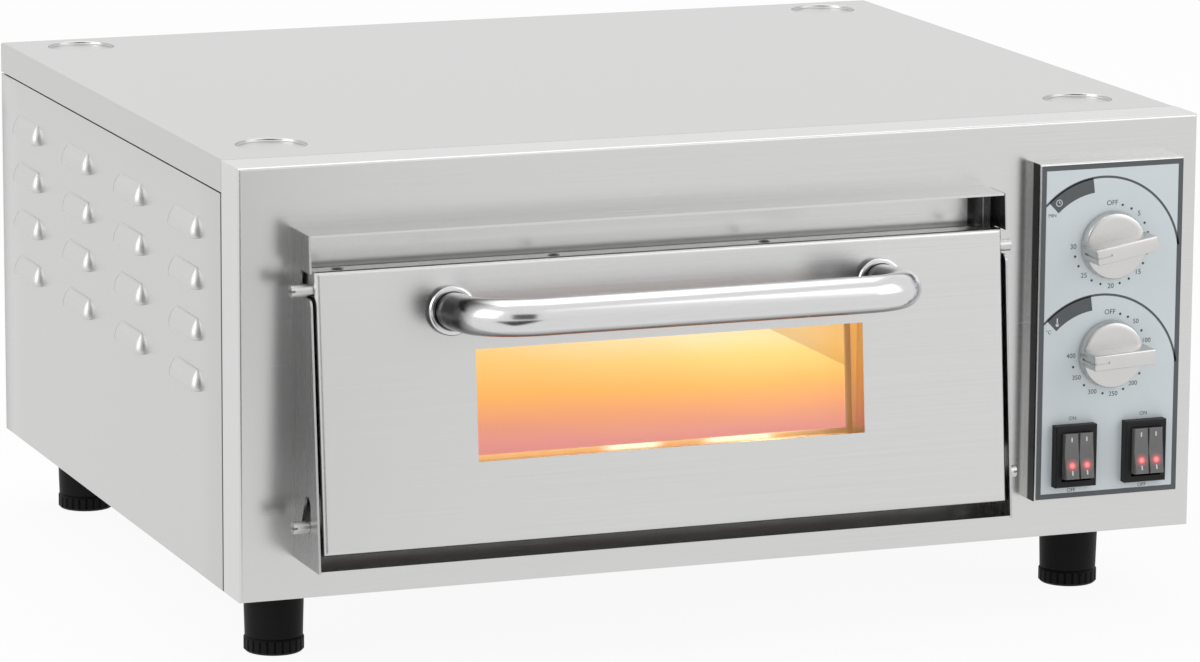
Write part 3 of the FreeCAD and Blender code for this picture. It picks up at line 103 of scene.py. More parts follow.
def add_node(tree, kind, **settings):
    """Adds a node and sets its properties and, by socket name, its inputs."""
    node = tree.nodes.new(kind)
    for name, value in settings.items():
        if hasattr(node, name):
            setattr(node, name, value)
        else:
            node.inputs[name.replace("_", " ")].default_value = value
    return node


def wire(tree, *pairs):
    """Links sockets in pairs, from the first to the second."""
    for source, target in pairs:
        tree.links.new(source, target)


def combine(tree, operation, total, *others):
    """Joins numbers one after the other by an operation."""
    for other in others:
        step = add_node(tree, "ShaderNodeMath", operation=operation)
        wire(tree, (total, step.inputs[0]), (other, step.inputs[1]))
        total = step.outputs[0]
    return total


def between(tree, factor, low, high):
    """A number between two limits."""
    scale = add_node(tree, "ShaderNodeMapRange", To_Min=low, To_Max=high)
    tree.links.new(factor, scale.inputs["Value"])
    return scale.outputs["Result"]


def seen_directly(tree):
    """1 for rays that show a surface to the eye: straight, in a mirror or through glass."""
    rays = add_node(tree, "ShaderNodeLightPath").outputs
    return combine(tree, "MAXIMUM", rays["Is Camera Ray"], rays["Is Glossy Ray"],
                   rays["Is Transmission Ray"])


ROOM_LIGHT = 0.62
world = bpy.data.worlds.new("studio")
world.use_nodes = True
scene.world = world
room = world.node_tree
walls = room.nodes["Background"].inputs
walls["Color"].default_value = (1, 1, 1, 1)
wire(room, (between(room, seen_directly(room), ROOM_LIGHT, 1.0), walls["Strength"]))
print("white room that lights with", ROOM_LIGHT)

# %% [markdown]
# The floor is mostly plain white and only partly lit, which leaves a faint shadow. A dark card
# lies in front, to the left, and a grey one stands behind the camera. Only mirrored rays see
# them: they give the bright metal its dark accents, as a photographer's cards do.

# %% Floor and cards
def add_flat(shape, width, length, place):
    """A flat rectangle, laid on the ground or put in another place."""
    made = bmesh.ops.create_grid(shape, x_segments=1, y_segments=1, size=0.5)["verts"]
    bmesh.ops.scale(shape, verts=made, vec=(width, length, 1))
    bmesh.ops.transform(shape, matrix=place, verts=made)


def lay_sheet(name, width, length, place):
    """A flat rectangle as an object."""
    shape = bmesh.new()
    add_flat(shape, width, length, place)
    mesh = bpy.data.meshes.new(name)
    shape.to_mesh(mesh)
    shape.free()
    return put(name, mesh)


def grey(tone):
    """A colour with three equal parts."""
    return tone, tone, tone


def new_finish(name, metal=0.0, rough=0.5, shine=0.0):
    """A material with its shader, ready for nodes."""
    material = bpy.data.materials.new(name)
    material.use_nodes = True
    shader = material.node_tree.nodes["Principled BSDF"]
    shader.inputs["Metallic"].default_value = metal
    shader.inputs["Roughness"].default_value = rough
    shader.inputs["Emission Strength"].default_value = shine
    return material, material.node_tree, shader


def matt_paper(name, tone):
    """Matt paper of one tone."""
    paper, tree, shader = new_finish(name, rough=0.9)
    shader.inputs["Base Color"].default_value = (*grey(tone), 1)
    return paper, tree, shader


FLOOR_SIZE, PLAIN_WHITE = 28, 0.92
floor = lay_sheet("floor", FLOOR_SIZE, FLOOR_SIZE, Matrix.Identity(4))
paper, tree, shader = matt_paper("paper_floor", 0.9)
white = add_node(tree, "ShaderNodeEmission", Strength=1.0)
cover = add_node(tree, "ShaderNodeMixShader")
wire(tree, (between(tree, seen_directly(tree), 0.0, PLAIN_WHITE), cover.inputs[0]),
     (shader.outputs[0], cover.inputs[1]),
     (white.outputs[0], cover.inputs[2]),
     (cover.outputs[0], tree.nodes["Material Output"].inputs["Surface"]))
floor.data.materials.append(paper)


def add_card(name, width, length, place, tone):
    """A matt card that only mirrored rays see."""
    card = lay_sheet(name, width, length, place)
    card.data.materials.append(matt_paper(name, tone)[0])
    for ray in ("camera", "diffuse", "transmission", "shadow"):
        setattr(card, f"visible_{ray}", False)
    return card


aside = Matrix.Translation((-0.42, -1.30, 0.002)) @ Matrix.Rotation(math.radians(20.8), 4, "Z")
behind = Matrix.Translation(STANDPOINT + Vector((0.2, -0.2, 0.3))) @ aim
add_card("dark_card", 0.8, 1.4, aside, 0.02)
add_card("grey_card", 2.2, 1.8, behind, 0.12)
print("floor and two cards")

# %% [markdown]
# Three large lamps give soft light: the key lamp from the left, a weaker one that fills the
# shadows from the right, and one over the back of the oven.

# %% Lamps
def soft_lamp(name, place, target, size, watts):
    """A large square lamp that looks at a point."""
    lamp = bpy.data.lights.new(name, "AREA")
    lamp.size = size
    lamp.energy = watts
    look = (Vector(target) - Vector(place)).to_track_quat("-Z", "Y").to_matrix().to_4x4()
    put(name, lamp).matrix_world = Matrix.Translation(place) @ look


OVEN_MIDDLE, OVEN_TOP = (0, 0, 0.15), (0, 0, 0.2)
soft_lamp("key_lamp", (-3.2, -0.8, 1.7), OVEN_MIDDLE, 2.2, 40)
soft_lamp("fill_lamp", (2.4, -2.2, 1.8), OVEN_MIDDLE, 2.6, 22)
soft_lamp("top_lamp", (0.2, 0.9, 3.0), OVEN_TOP, 2.6, 24)
print("three lamps")

# %% [markdown]
# ## Effects that several finishes share
#
# A node group is built once and used in many finishes. Brushed grain gives the fine parallel
# streaks of satin sheet, with a slow cloud of handling marks. Moulded skin gives plastic its
# fine pebble and a little dust.

# %% Grain and pebble
def new_group(name, inputs, outputs):
    """An empty shader group, the sockets that feed it and those that it fills."""
    group = bpy.data.node_groups.new(name, "ShaderNodeTree")
    for label, kind, value in inputs:
        socket = group.interface.new_socket(name=label, in_out="INPUT", socket_type=kind)
        socket.default_value = value
    for label, kind in outputs:
        group.interface.new_socket(name=label, in_out="OUTPUT", socket_type=kind)
    entry, leave = group.nodes.new("NodeGroupInput"), group.nodes.new("NodeGroupOutput")
    return group, entry.outputs, leave.inputs


def place_on(tree, kind="Object"):
    """The shaded place on a piece, or the way that its surface looks."""
    return add_node(tree, "ShaderNodeTexCoord").outputs[kind]


FLOAT, VECTOR, COLOR = "NodeSocketFloat", "NodeSocketVector", "NodeSocketColor"

grain, entry, leave = new_group(
    "brushed_grain",
    [("Streaks", VECTOR, (8, 900, 900)), ("Cloud", FLOAT, 9.0)],
    [("Streak", FLOAT), ("Smudge", FLOAT)])
spot = place_on(grain)
stretch = add_node(grain, "ShaderNodeVectorMath", operation="MULTIPLY")
fine = add_node(grain, "ShaderNodeTexNoise", Scale=1.0, Detail=3.0, Roughness=0.65)
slow = add_node(grain, "ShaderNodeTexNoise", Detail=4.0, Roughness=0.55)
wire(grain, (spot, stretch.inputs[0]),
     (entry["Streaks"], stretch.inputs[1]),
     (stretch.outputs[0], fine.inputs["Vector"]),
     (spot, slow.inputs["Vector"]),
     (entry["Cloud"], slow.inputs["Scale"]),
     (fine.outputs["Fac"], leave["Streak"]),
     (slow.outputs["Fac"], leave["Smudge"]))

skin, entry, leave = new_group(
    "moulded_skin",
    [("Pebble", FLOAT, 1800.0), ("Cloud", FLOAT, 14.0)],
    [("Height", FLOAT), ("Dust", FLOAT)])
spot = place_on(skin)
pebble = add_node(skin, "ShaderNodeTexVoronoi", feature="SMOOTH_F1")
dust = add_node(skin, "ShaderNodeTexNoise", Detail=5.0, Roughness=0.7)
wire(skin, (spot, pebble.inputs["Vector"]),
     (spot, dust.inputs["Vector"]),
     (entry["Pebble"], pebble.inputs["Scale"]),
     (entry["Cloud"], dust.inputs["Scale"]),
     (pebble.outputs["Distance"], leave["Height"]),
     (dust.outputs["Fac"], leave["Dust"]))
print("groups", grain.name, "and", skin.name)

# %% [markdown]
# Oven glow is painted light: it colours what the lamp and the heat light up inside the chamber,
# nearly white beside the lamp, then yellow, orange, and a dull rose far away. The distance is
# squeezed along X, because the elements spread the heat from wall to wall.

# %% Oven glow
def set_stops(ramp, stops):
    """Gives a new colour ramp its stops, each a position and a colour."""
    for extra in range(len(stops) - 2):
        ramp.color_ramp.elements.new(0.5)
    for element, (position, color) in zip(ramp.color_ramp.elements, stops):
        element.position = position
        element.color = (*color, 1)


LAMP_SPOT = (0.090, 0.110, 0.107)
glow, entry, leave = new_group(
    "painted_oven_glow",
    [("Center", VECTOR, LAMP_SPOT), ("Reach", FLOAT, 0.30)],
    [("Color", COLOR)])
spot = place_on(glow)
offset = add_node(glow, "ShaderNodeVectorMath", operation="SUBTRACT")
squeeze = add_node(glow, "ShaderNodeVectorMath", operation="MULTIPLY")
squeeze.inputs[1].default_value = (0.45, 1.0, 0.7)
away = add_node(glow, "ShaderNodeVectorMath", operation="LENGTH")
wave = add_node(glow, "ShaderNodeTexNoise", Scale=16.0, Detail=2.0)
spread = add_node(glow, "ShaderNodeMapRange")
waver = between(glow, wave.outputs["Fac"], -0.05, 0.05)
ramp = add_node(glow, "ShaderNodeValToRGB")
wire(glow, (spot, offset.inputs[0]),
     (entry["Center"], offset.inputs[1]),
     (offset.outputs["Vector"], squeeze.inputs[0]),
     (squeeze.outputs["Vector"], away.inputs[0]),
     (spot, wave.inputs["Vector"]),
     (away.outputs["Value"], spread.inputs["Value"]),
     (entry["Reach"], spread.inputs["From Max"]),
     (combine(glow, "ADD", spread.outputs["Result"], waver), ramp.inputs["Fac"]),
     (ramp.outputs["Color"], leave["Color"]))
set_stops(ramp, [(0.0, (1.0, 0.90, 0.58)), (0.25, (1.0, 0.66, 0.19)), (0.5, (1.0, 0.50, 0.10)),
                 (0.72, (0.86, 0.35, 0.18)), (0.92, (0.74, 0.26, 0.30))])
print("group", glow.name)

# %% [markdown]
# ## Helpers for finishes
#
# A finish is a small tree of nodes. These helpers place a shared effect, blend two tones, and
# send a colour, a roughness or a relief to the shader, so that each finish takes a few lines.

# %% Finish helpers
def place_group(tree, group, **values):
    """Places a shared effect in a material with its own values, and gives its outputs."""
    node = add_node(tree, "ShaderNodeGroup", node_tree=group)
    for name, value in values.items():
        node.inputs[name].default_value = value
    return node.outputs


def blend_tones(tree, factor, first, second):
    """A colour between two tones; each tone is a colour or the output of a node."""
    mix = add_node(tree, "ShaderNodeMix", data_type="RGBA")
    tree.links.new(factor, mix.inputs[0])
    for socket, tone in ((mix.inputs[6], first), (mix.inputs[7], second)):
        if isinstance(tone, tuple):
            socket.default_value = (*tone, 1)
        else:
            tree.links.new(tone, socket)
    return mix.outputs[2]


def paint(tree, shader, factor, first, second, socket="Base Color"):
    """Sends a colour between two tones to the shader."""
    tree.links.new(blend_tones(tree, factor, first, second), shader.inputs[socket])


def roughen(tree, shader, factor, low, high):
    """Lets the roughness run between two limits."""
    tree.links.new(between(tree, factor, low, high), shader.inputs["Roughness"])


def relief(tree, shader, height, strength, depth):
    """A fine relief on the surface."""
    bump = add_node(tree, "ShaderNodeBump", Strength=strength, Distance=depth)
    tree.links.new(height, bump.inputs["Height"])
    tree.links.new(bump.outputs["Normal"], shader.inputs["Normal"])


print("helpers for finishes ready")

# %% [markdown]
# ## Painted reflections
#
# Bright corners mirror each other, and the dark card too, again and again. A few masks paint
# these reflections into the base colour: painted dark reflections on the flank of the control
# tray, the right end of the recess over the door, and the handle's underside and legs, and a
# painted highlight at the root of the right cheek.

# %% Masks
def along(tree, axis, first, last, kind="Object"):
    """0 to 1 between two places on one axis of the oven."""
    split = add_node(tree, "ShaderNodeSeparateXYZ")
    run = add_node(tree, "ShaderNodeMapRange", From_Min=first, From_Max=last)
    wire(tree, (place_on(tree, kind), split.inputs[0]), (split.outputs[axis], run.inputs["Value"]))
    return run.outputs["Result"]


def facing(tree, axis, first, last):
    """0 to 1 while the surface turns from one slope to another, in the piece's own frame."""
    return along(tree, axis, first, last, "Normal")


def both(tree, *masks):
    """Where all of some masks hold."""
    return combine(tree, "MULTIPLY", *masks)


tray_low, tray_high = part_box("control_tray")
recess_low, recess_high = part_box("right_cheek")
DARK_FLANK, FLANK_FADE = 0.0080, 0.0015
RECESS_BOTTOM, BOTTOM_FADE, TOP_FADE = 0.2262, 0.004, 0.0008
MIRRORED, MIRROR_FADE, END_FADE = 0.0098, 0.0006, 0.0004
BRIGHT_ROOT, ROOT_FADE = 0.0104, 0.0018
TRAY_SKIN, CHEEK_SKIN, SKIN_FADE = 0.0005, 0.0006, 0.0003


def left_face(tree, place, depth):
    """A wall that looks to the left, without the back of its sheet."""
    return along(tree, "X", place + depth, place + depth - SKIN_FADE)


def over_door(tree):
    """The height of the recess over the door."""
    return along(tree, "Z", RECESS_BOTTOM - BOTTOM_FADE, RECESS_BOTTOM)


def painted_tray_reflection(tree):
    """The front part of the tray's left wall, where a dark reflection is painted."""
    end = tray_low.y + DARK_FLANK
    return both(tree, left_face(tree, tray_low.x, TRAY_SKIN),
                along(tree, "Y", end + FLANK_FADE, end))


def painted_recess_reflection(tree):
    """Where a painted dark reflection of the cheek goes on the wall over the door."""
    start = recess_low.x - MIRRORED
    return both(tree, along(tree, "X", start, start + MIRROR_FADE),
                along(tree, "X", recess_low.x, recess_low.x - END_FADE),
                along(tree, "Z", recess_high.z, recess_high.z - TOP_FADE), over_door(tree))


def cheek_paint_zone(tree):
    """The inner face of the right cheek, over the door, which gets a painted highlight."""
    return both(tree, left_face(tree, recess_low.x, CHEEK_SKIN), over_door(tree))


def painted_cheek_reflection(tree):
    """The same face without its root at the front panel, where a dark reflection is painted."""
    root = recess_high.y - BRIGHT_ROOT
    return both(tree, cheek_paint_zone(tree), along(tree, "Y", root + ROOT_FADE, root))


def painted_under_reflection(tree):
    """Where the handle looks down, for a painted dark reflection."""
    return facing(tree, "Z", -0.55, -0.92)


def painted_leg_reflection(tree):
    """Where the handle looks to the left but not to the front, for a painted dark reflection."""
    return both(tree, facing(tree, "X", -0.20, -0.50), facing(tree, "Y", -0.50, -0.22))


print("tray flank at", round(tray_low.x, 4), "and cheek at", round(recess_low.x, 4))

# %% [markdown]
# ## Steel
#
# The casing is satin stainless sheet. Its grain runs lengthways on every panel, so the front,
# top and door carry streaks along X and the side walls carry them along Y. The streaks change
# tone and roughness a little and press a faint relief; the smudges are what hands leave.

# %% Steel finishes
def brushed_steel(name, streaks, dark, light, rough, painted_light=()):
    """Steel with grain; each painted tone is a function that gives a mask, and the painted reflection or
    highlight there.
    """
    material, tree, shader = new_finish(name, metal=1.0)
    marks = place_group(tree, grain, Streaks=streaks, Cloud=7.0)
    tone = blend_tones(tree, marks["Streak"], dark, light)
    dull = tuple(value * 0.93 for value in light)
    tone = blend_tones(tree, between(tree, marks["Smudge"], 0.0, 0.45), tone, dull)
    for mask, painted_tone in painted_light:
        tone = blend_tones(tree, mask(tree), tone, painted_tone)
    tree.links.new(tone, shader.inputs["Base Color"])
    roughen(tree, shader, marks["Streak"], rough - 0.04, rough + 0.05)
    relief(tree, shader, marks["Streak"], 0.06, 0.0001)
    return material


ALONG_X, ALONG_Y, ALONG_Z = (7, 1100, 1100), (1100, 7, 1100), (1100, 1100, 7)
EVERY_WAY = (900, 900, 900)
SATIN = (0.60, 0.60, 0.595), (0.68, 0.68, 0.675)
# Darker tones for the cheeks: painted shade.
PAINTED_CHEEK_SHADE = grey(0.42), grey(0.56)
# Tones for painted dark reflections, painted shadows and a painted highlight.
PAINTED_BLACK, PAINTED_DARK_GREY, PAINTED_HIGHLIGHT = grey(0.022), grey(0.09), grey(0.95)
satin_x = brushed_steel("satin_sheet_x", ALONG_X, *SATIN, 0.25)
# The front panel carries a painted dark reflection of the cheek beside the recess.
front_steel = brushed_steel("front_sheet", ALONG_X, *SATIN, 0.25, [(painted_recess_reflection, PAINTED_DARK_GREY)])
# The tray's left wall carries a painted dark reflection at its front.
tray_steel = brushed_steel("tray_sheet", ALONG_X, *SATIN, 0.25, [(painted_tray_reflection, PAINTED_BLACK)])
# The louvres, the side walls and the top cover are copies of this steel in other tones, and the cheeks
# darker still: painted light and shade for how the light falls on each face.
painted_light_louvre_steel = brushed_steel("painted_light_louvre_sheet", ALONG_Y, (0.58, 0.58, 0.575), (0.66, 0.66, 0.655), 0.44)
painted_shade_side_steel = brushed_steel("painted_shade_side_sheet", ALONG_Y, (0.52, 0.52, 0.515), (0.60, 0.60, 0.595), 0.25)
painted_shade_cover_steel = brushed_steel("painted_shade_cover_sheet", ALONG_X, (0.50, 0.50, 0.495), (0.58, 0.58, 0.575), 0.25)
painted_shade_cheek_steel = brushed_steel("painted_shade_cheek_sheet", ALONG_Z, *PAINTED_CHEEK_SHADE, 0.27)
# The right cheek's inner face over the door: a painted highlight at its root and a painted dark reflection
# in front.
painted_recess_steel = brushed_steel("painted_recess_sheet", ALONG_Z, *PAINTED_CHEEK_SHADE, 0.27,
                             [(cheek_paint_zone, PAINTED_HIGHLIGHT), (painted_cheek_reflection, PAINTED_BLACK)])
turned_steel = brushed_steel("turned_steel", EVERY_WAY, grey(0.48), (0.66, 0.66, 0.65), 0.32)
# The handle's underside and left flanks carry painted dark reflections.
polished = brushed_steel("polished_tube", (60, 700, 700), (0.63, 0.63, 0.635), (0.71, 0.71, 0.715), 0.19,
                         [(painted_under_reflection, grey(0.10)), (painted_leg_reflection, grey(0.11))])
# Near-black steel for the strips of painted shadow in the slits and seams.
painted_slit_shadow = brushed_steel("painted_slit_shadow", EVERY_WAY, grey(0.03), PAINTED_DARK_GREY, 0.5)
print("steel finishes ready")

# %% [markdown]
# ## Inside the oven
#
# Through the window one sees the baking stone, the walls and the heat. The stone is sandy and
# speckled, with darker scorch clouds. The oven is switched on; the glow of the lamp and the
# elements on the stone and the sheet around it is painted light, carried in their own emission.
# It follows the place in the oven and not the eye, so the open door shows the same warm chamber.

# %% Stone and chamber
def speckle(tree, scale, detail=6.0):
    """Noise on the object's own coordinates."""
    noise = add_node(tree, "ShaderNodeTexNoise", Scale=scale, Detail=detail, Roughness=0.7)
    tree.links.new(place_on(tree), noise.inputs["Vector"])
    return noise.outputs["Fac"]


stone_finish, tree, shader = new_finish("fire_stone", rough=0.85, shine=0.88)
crumbs = speckle(tree, 420.0)
scorch = speckle(tree, 13.0, 4.0)
sand = blend_tones(tree, crumbs, (0.20, 0.14, 0.09), (0.40, 0.31, 0.21))
paint(tree, shader, between(tree, scorch, 0.0, 0.35), sand, (0.16, 0.10, 0.06))
# The stone's emission is painted light: the glow of the lamp and the elements on it.
painted_glow = place_group(tree, glow)["Color"]
paint(tree, shader, between(tree, crumbs, 0.0, 0.3), painted_glow, (0.55, 0.27, 0.16), "Emission Color")
relief(tree, shader, crumbs, 0.35, 0.0006)


def sheet_with_painted_glow(name, streaks, strength):
    """Heat-tanned chamber sheet with painted oven light in its emission."""
    material, tree, shader = new_finish(name, metal=0.9, shine=strength)
    marks = place_group(tree, grain, Streaks=streaks, Cloud=11.0)
    smudge = marks["Smudge"]
    paint(tree, shader, smudge, (0.46, 0.42, 0.36), (0.62, 0.55, 0.44))
    roughen(tree, shader, marks["Streak"], 0.30, 0.46)
    # Painted light from the lamp and the elements, carried in the emission.
    painted_glow = place_group(tree, glow, Reach=0.34)["Color"]
    paint(tree, shader, between(tree, smudge, 0.25, 0.65), painted_glow, (0.50, 0.20, 0.05), "Emission Color")
    relief(tree, shader, marks["Streak"], 0.10, 0.0001)
    return material


chamber_sheet = sheet_with_painted_glow("chamber_sheet", ALONG_Y, 0.42)
chamber_end = sheet_with_painted_glow("chamber_end_sheet", ALONG_X, 0.42)
low_sheet = sheet_with_painted_glow("chamber_low_sheet", ALONG_Y, 0.10)
plain_sheet = brushed_steel("plain_sheet", ALONG_Y, (0.40, 0.40, 0.39), (0.52, 0.52, 0.51), 0.42)
print("stone and chamber sheet ready")

# %% [markdown]
# The reveal between the door's two panes carries a painted reflection of the chamber in warm
# bands, with two painted glints on its lower edge. Both are colour ramps along one axis.

# %% Window reveal
def banded(tree, axis, first, last, stops):
    """Colours in bands along one axis, between two places on it."""
    bands = add_node(tree, "ShaderNodeValToRGB")
    tree.links.new(along(tree, axis, first, last), bands.inputs["Fac"])
    set_stops(bands, stops)
    return bands.outputs["Color"]


ORANGE, BROWN, PAINTED_GLINT = (0.72, 0.33, 0.07), (0.14, 0.055, 0.02), (1.0, 0.90, 0.62)
reveal_low, reveal_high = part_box("window_frame")
frame_sheet, tree, shader = new_finish("window_frame_sheet", metal=0.9, rough=0.25, shine=0.55)
marks = place_group(tree, grain, Streaks=ALONG_X, Cloud=11.0)
paint(tree, shader, marks["Streak"], (0.46, 0.36, 0.24), (0.62, 0.48, 0.31))
# Painted reflection of the chamber in warm bands across the reveal, in the emission.
painted_bands = banded(tree, "Y", reveal_low.y, reveal_high.y, [
    (0.0, BROWN), (0.40, (0.42, 0.18, 0.05)), (0.52, BROWN), (0.60, ORANGE), (1.0, (0.80, 0.42, 0.10))])
# The painted reflection is darker towards the bottom.
depth = between(tree, along(tree, "Z", reveal_high.z, reveal_low.z), 0.0, 0.9)
paint(tree, shader, depth, painted_bands, BROWN, "Emission Color")

pan_sheet, tree, shader = new_finish("door_pan_sheet", metal=1.0, shine=0.9)
marks = place_group(tree, grain, Streaks=ALONG_X, Cloud=7.0)
paint(tree, shader, marks["Streak"], (0.56, 0.56, 0.555), (0.66, 0.66, 0.655))
roughen(tree, shader, marks["Smudge"], 0.24, 0.34)
pan_painted_reflection = banded(tree, "X", reveal_low.x, reveal_high.x, [
    (0.0, ORANGE), (0.36, ORANGE), (0.40, PAINTED_GLINT), (0.49, PAINTED_GLINT), (0.52, ORANGE),
    (0.60, ORANGE), (0.64, PAINTED_GLINT), (0.76, PAINTED_GLINT), (0.79, ORANGE), (1.0, BROWN)])
# Painted reflection of the chamber with two painted glints, on the faces that look to the front.
paint(tree, shader, facing(tree, "Y", -0.80, -0.95), grey(0.0), pan_painted_reflection, "Emission Color")
print("window reveal ready")

# %% [markdown]
# The elements are scaly tubes at red heat, and the bulb is the brightest thing in the chamber.
# The panes are clear, with a faint film of wiped grease. The wool between the sheets is fibrous.

# %% Elements, lamp, glass and wool
element_finish, tree, shader = new_finish("hot_element", metal=0.7, rough=0.55, shine=0.9)
scale_marks = speckle(tree, 160.0)
paint(tree, shader, scale_marks, (0.10, 0.08, 0.07), (0.22, 0.17, 0.14))
paint(tree, shader, scale_marks, (0.55, 0.08, 0.01), (1.0, 0.26, 0.04), "Emission Color")
relief(tree, shader, scale_marks, 0.2, 0.0002)

bulb_finish, tree, shader = new_finish("lit_bulb", rough=0.2, shine=4.0)
paint(tree, shader, speckle(tree, 90.0), (1.0, 0.80, 0.48), (1.0, 0.88, 0.62), "Emission Color")


def clear_glass(name, tint, thin_dirt):
    """Clear glass with a faint film of wiped grease."""
    material, tree, shader = new_finish(name)
    shader.inputs["Transmission Weight"].default_value = 1.0
    shader.inputs["IOR"].default_value = 1.2
    wipe = speckle(tree, 26.0)
    roughen(tree, shader, wipe, 0.0, thin_dirt)
    paint(tree, shader, wipe, tint, grey(1.0))
    return material


window_glass = clear_glass("window_glass", (0.97, 0.97, 0.95), 0.03)
lens_glass = clear_glass("lens_glass", (1.0, 0.93, 0.80), 0.12)

ceramic_finish, tree, shader = new_finish("lamp_ceramic", rough=0.6)
paint(tree, shader, speckle(tree, 240.0), (0.72, 0.70, 0.66), (0.86, 0.84, 0.80))

wool_finish, tree, shader = new_finish("ceramic_wool", rough=0.95)
fibres = place_group(tree, grain, Streaks=(260, 60, 700), Cloud=40.0)["Streak"]
paint(tree, shader, fibres, (0.66, 0.65, 0.61), (0.90, 0.89, 0.85))
relief(tree, shader, fibres, 0.6, 0.001)
print("elements, lamp, glass and wool ready")

# %% [markdown]
# ## Plastics
#
# Feet, switch bezels and the cord gland are black moulded plastic with a fine pebble. The dial
# knobs have a satin silver coat. The printed film on the control panel is a pale blue grey with a
# very fine grain, and the mechanism cases behind it are off-white.

# %% Plastic finishes
def moulded(name, dark, light, rough, pebble_scale, bump, gloss=0.5, metal=0.0):
    """Plastic with a fine pebble and a little dust."""
    material, tree, shader = new_finish(name, metal)
    shader.inputs["Specular IOR Level"].default_value = gloss
    feel = place_group(tree, skin, Pebble=pebble_scale, Cloud=22.0)
    paint(tree, shader, feel["Dust"], dark, light)
    roughen(tree, shader, feel["Dust"], rough - 0.07, rough + 0.09)
    relief(tree, shader, feel["Height"], bump, 0.0002)
    return material


black_plastic = moulded("black_plastic", grey(0.008), grey(0.020), 0.42, 1500.0, 0.15, gloss=0.2)
foot_plastic = moulded("foot_plastic", grey(0.004), grey(0.010), 0.50, 1100.0, 0.30, gloss=0.1)
knob_plastic = moulded("knob_plastic", (0.58, 0.575, 0.565), (0.66, 0.655, 0.645), 0.30, 2400.0, 0.05,
                       metal=1.0)
case_plastic = moulded("case_plastic", (0.66, 0.65, 0.62), (0.80, 0.79, 0.76), 0.55, 1400.0, 0.20)
fascia_film = moulded("fascia_film", (0.635, 0.695, 0.725), (0.70, 0.755, 0.78), 0.40, 3000.0, 0.04)
print_grey = moulded("print_grey", (0.075, 0.084, 0.092), (0.100, 0.110, 0.118), 0.45, 3000.0, 0.04)
print_dark = moulded("print_dark", (0.030, 0.033, 0.038), (0.050, 0.054, 0.060), 0.45, 3000.0, 0.04)
print_light = moulded("print_light", (0.60, 0.64, 0.66), (0.70, 0.73, 0.75), 0.45, 3000.0, 0.04)
print("plastic finishes ready")

# %% [markdown]
# ## Dressing the CAD solids
#
# A solid whose shape is already right only needs its finish. The list reads like a parts list:
# each finish with the solids that wear it.

# %% Finishes on the solids
WEARS = [
    (satin_x, "door_hood door_sill door_skin back_panel"),
    (front_steel, "front_panel"),
    (tray_steel, "control_tray"),
    (pan_sheet, "door_pan"),
    (painted_shade_cover_steel, "top_cover"),
    (painted_shade_side_steel, "left_side_panel right_side_panel"),
    (plain_sheet, "base_tray heat_shield"),
    (painted_shade_cheek_steel, "left_cheek"),
    (painted_recess_steel, "right_cheek"),
    (chamber_sheet, "chamber_wrap"),
    (low_sheet, "chamber_floor stone_rails"),
    (chamber_end, "chamber_back throat_frame element_brackets"),
    (frame_sheet, "window_frame"),
    (turned_steel, "door_pins door_screws handle_bolts timer_shaft thermostat_shaft temperature_probe"),
    (element_finish, "upper_heating_element lower_heating_element"),
    (polished, "handle_tube handle_rosettes"),
    (window_glass, "outer_glass inner_glass"),
    (lens_glass, "lamp_lens"),
    (bulb_finish, "lamp_bulb"),
    (ceramic_finish, "lamp_holder"),
    (stone_finish, "baking_stone"),
    (wool_finish, "insulation_top insulation_bottom insulation_sides insulation_back door_insulation"),
    (fascia_film, "control_fascia"),
    (knob_plastic, "timer_knob thermostat_knob"),
    (case_plastic, "timer_body thermostat_body"),
    (black_plastic, "left_switch_housing right_switch_housing cable_gland"),
    (foot_plastic, "foot_sleeves foot_adjuster_front_left foot_adjuster_front_right "
                   "foot_adjuster_back_left foot_adjuster_back_right"),
]
for finish, names in WEARS:
    for name in names.split():
        mesh = nodes[name].data
        mesh.materials.clear()
        mesh.materials.append(finish)
print(sum(len(names.split()) for finish, names in WEARS), "solids dressed")

# %% [markdown]
# ## The oven's lamp
#
# A small warm lamp sits in the right chamber wall, towards the back. It throws real light on
# the stone and out through the window, beside the painted glow that the surfaces carry in their
# own emission.

# %% Chamber lamp
lamp_light = bpy.data.lights.new("chamber_lamp", "POINT")
lamp_light.energy = 0.3
lamp_light.color = (1.0, 0.72, 0.38)
lamp_light.shadow_soft_size = 0.02
chamber_lamp = put("chamber_lamp", lamp_light)
lens_low, lens_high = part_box("lamp_lens")
chamber_lamp.location = (lens_low.x - 0.02, (lens_low.y + lens_high.y) / 2, lens_high.z + 0.004)
print("chamber lamp at", tuple(round(value, 3) for value in chamber_lamp.location))

# %% [markdown]
# ## Turning a mesh into a piece
#
# Every new piece is put in its place and rides on the CAD body that carries it.

# %% Piece helper
def add_piece(shape, name, finish, body, stands_for=(), smooth=35.0, place=Matrix.Identity(4)):
    """Makes an object of a bmesh, in its place, with soft shading below the given edge angle."""
    bmesh.ops.transform(shape, matrix=place, verts=shape.verts)
    bmesh.ops.remove_doubles(shape, verts=shape.verts, dist=1e-7)
    bmesh.ops.recalc_face_normals(shape, faces=shape.faces)
    mesh = bpy.data.meshes.new(name)
    shape.to_mesh(mesh)
    shape.free()
    mesh.shade_smooth()
    mesh.set_sharp_from_angle(angle=math.radians(smooth))
    mesh.materials.append(finish)
    piece = put(name, mesh)
    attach(piece, body)
    if stands_for:
        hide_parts(*stands_for)
    print(name, len(mesh.polygons), "faces on", body)


def draw_line(shape, places):
    """Joins places by edges and returns the points and the edges."""
    points = [shape.verts.new(place) for place in places]
    return points, [shape.edges.new(pair) for pair in zip(points, points[1:])]


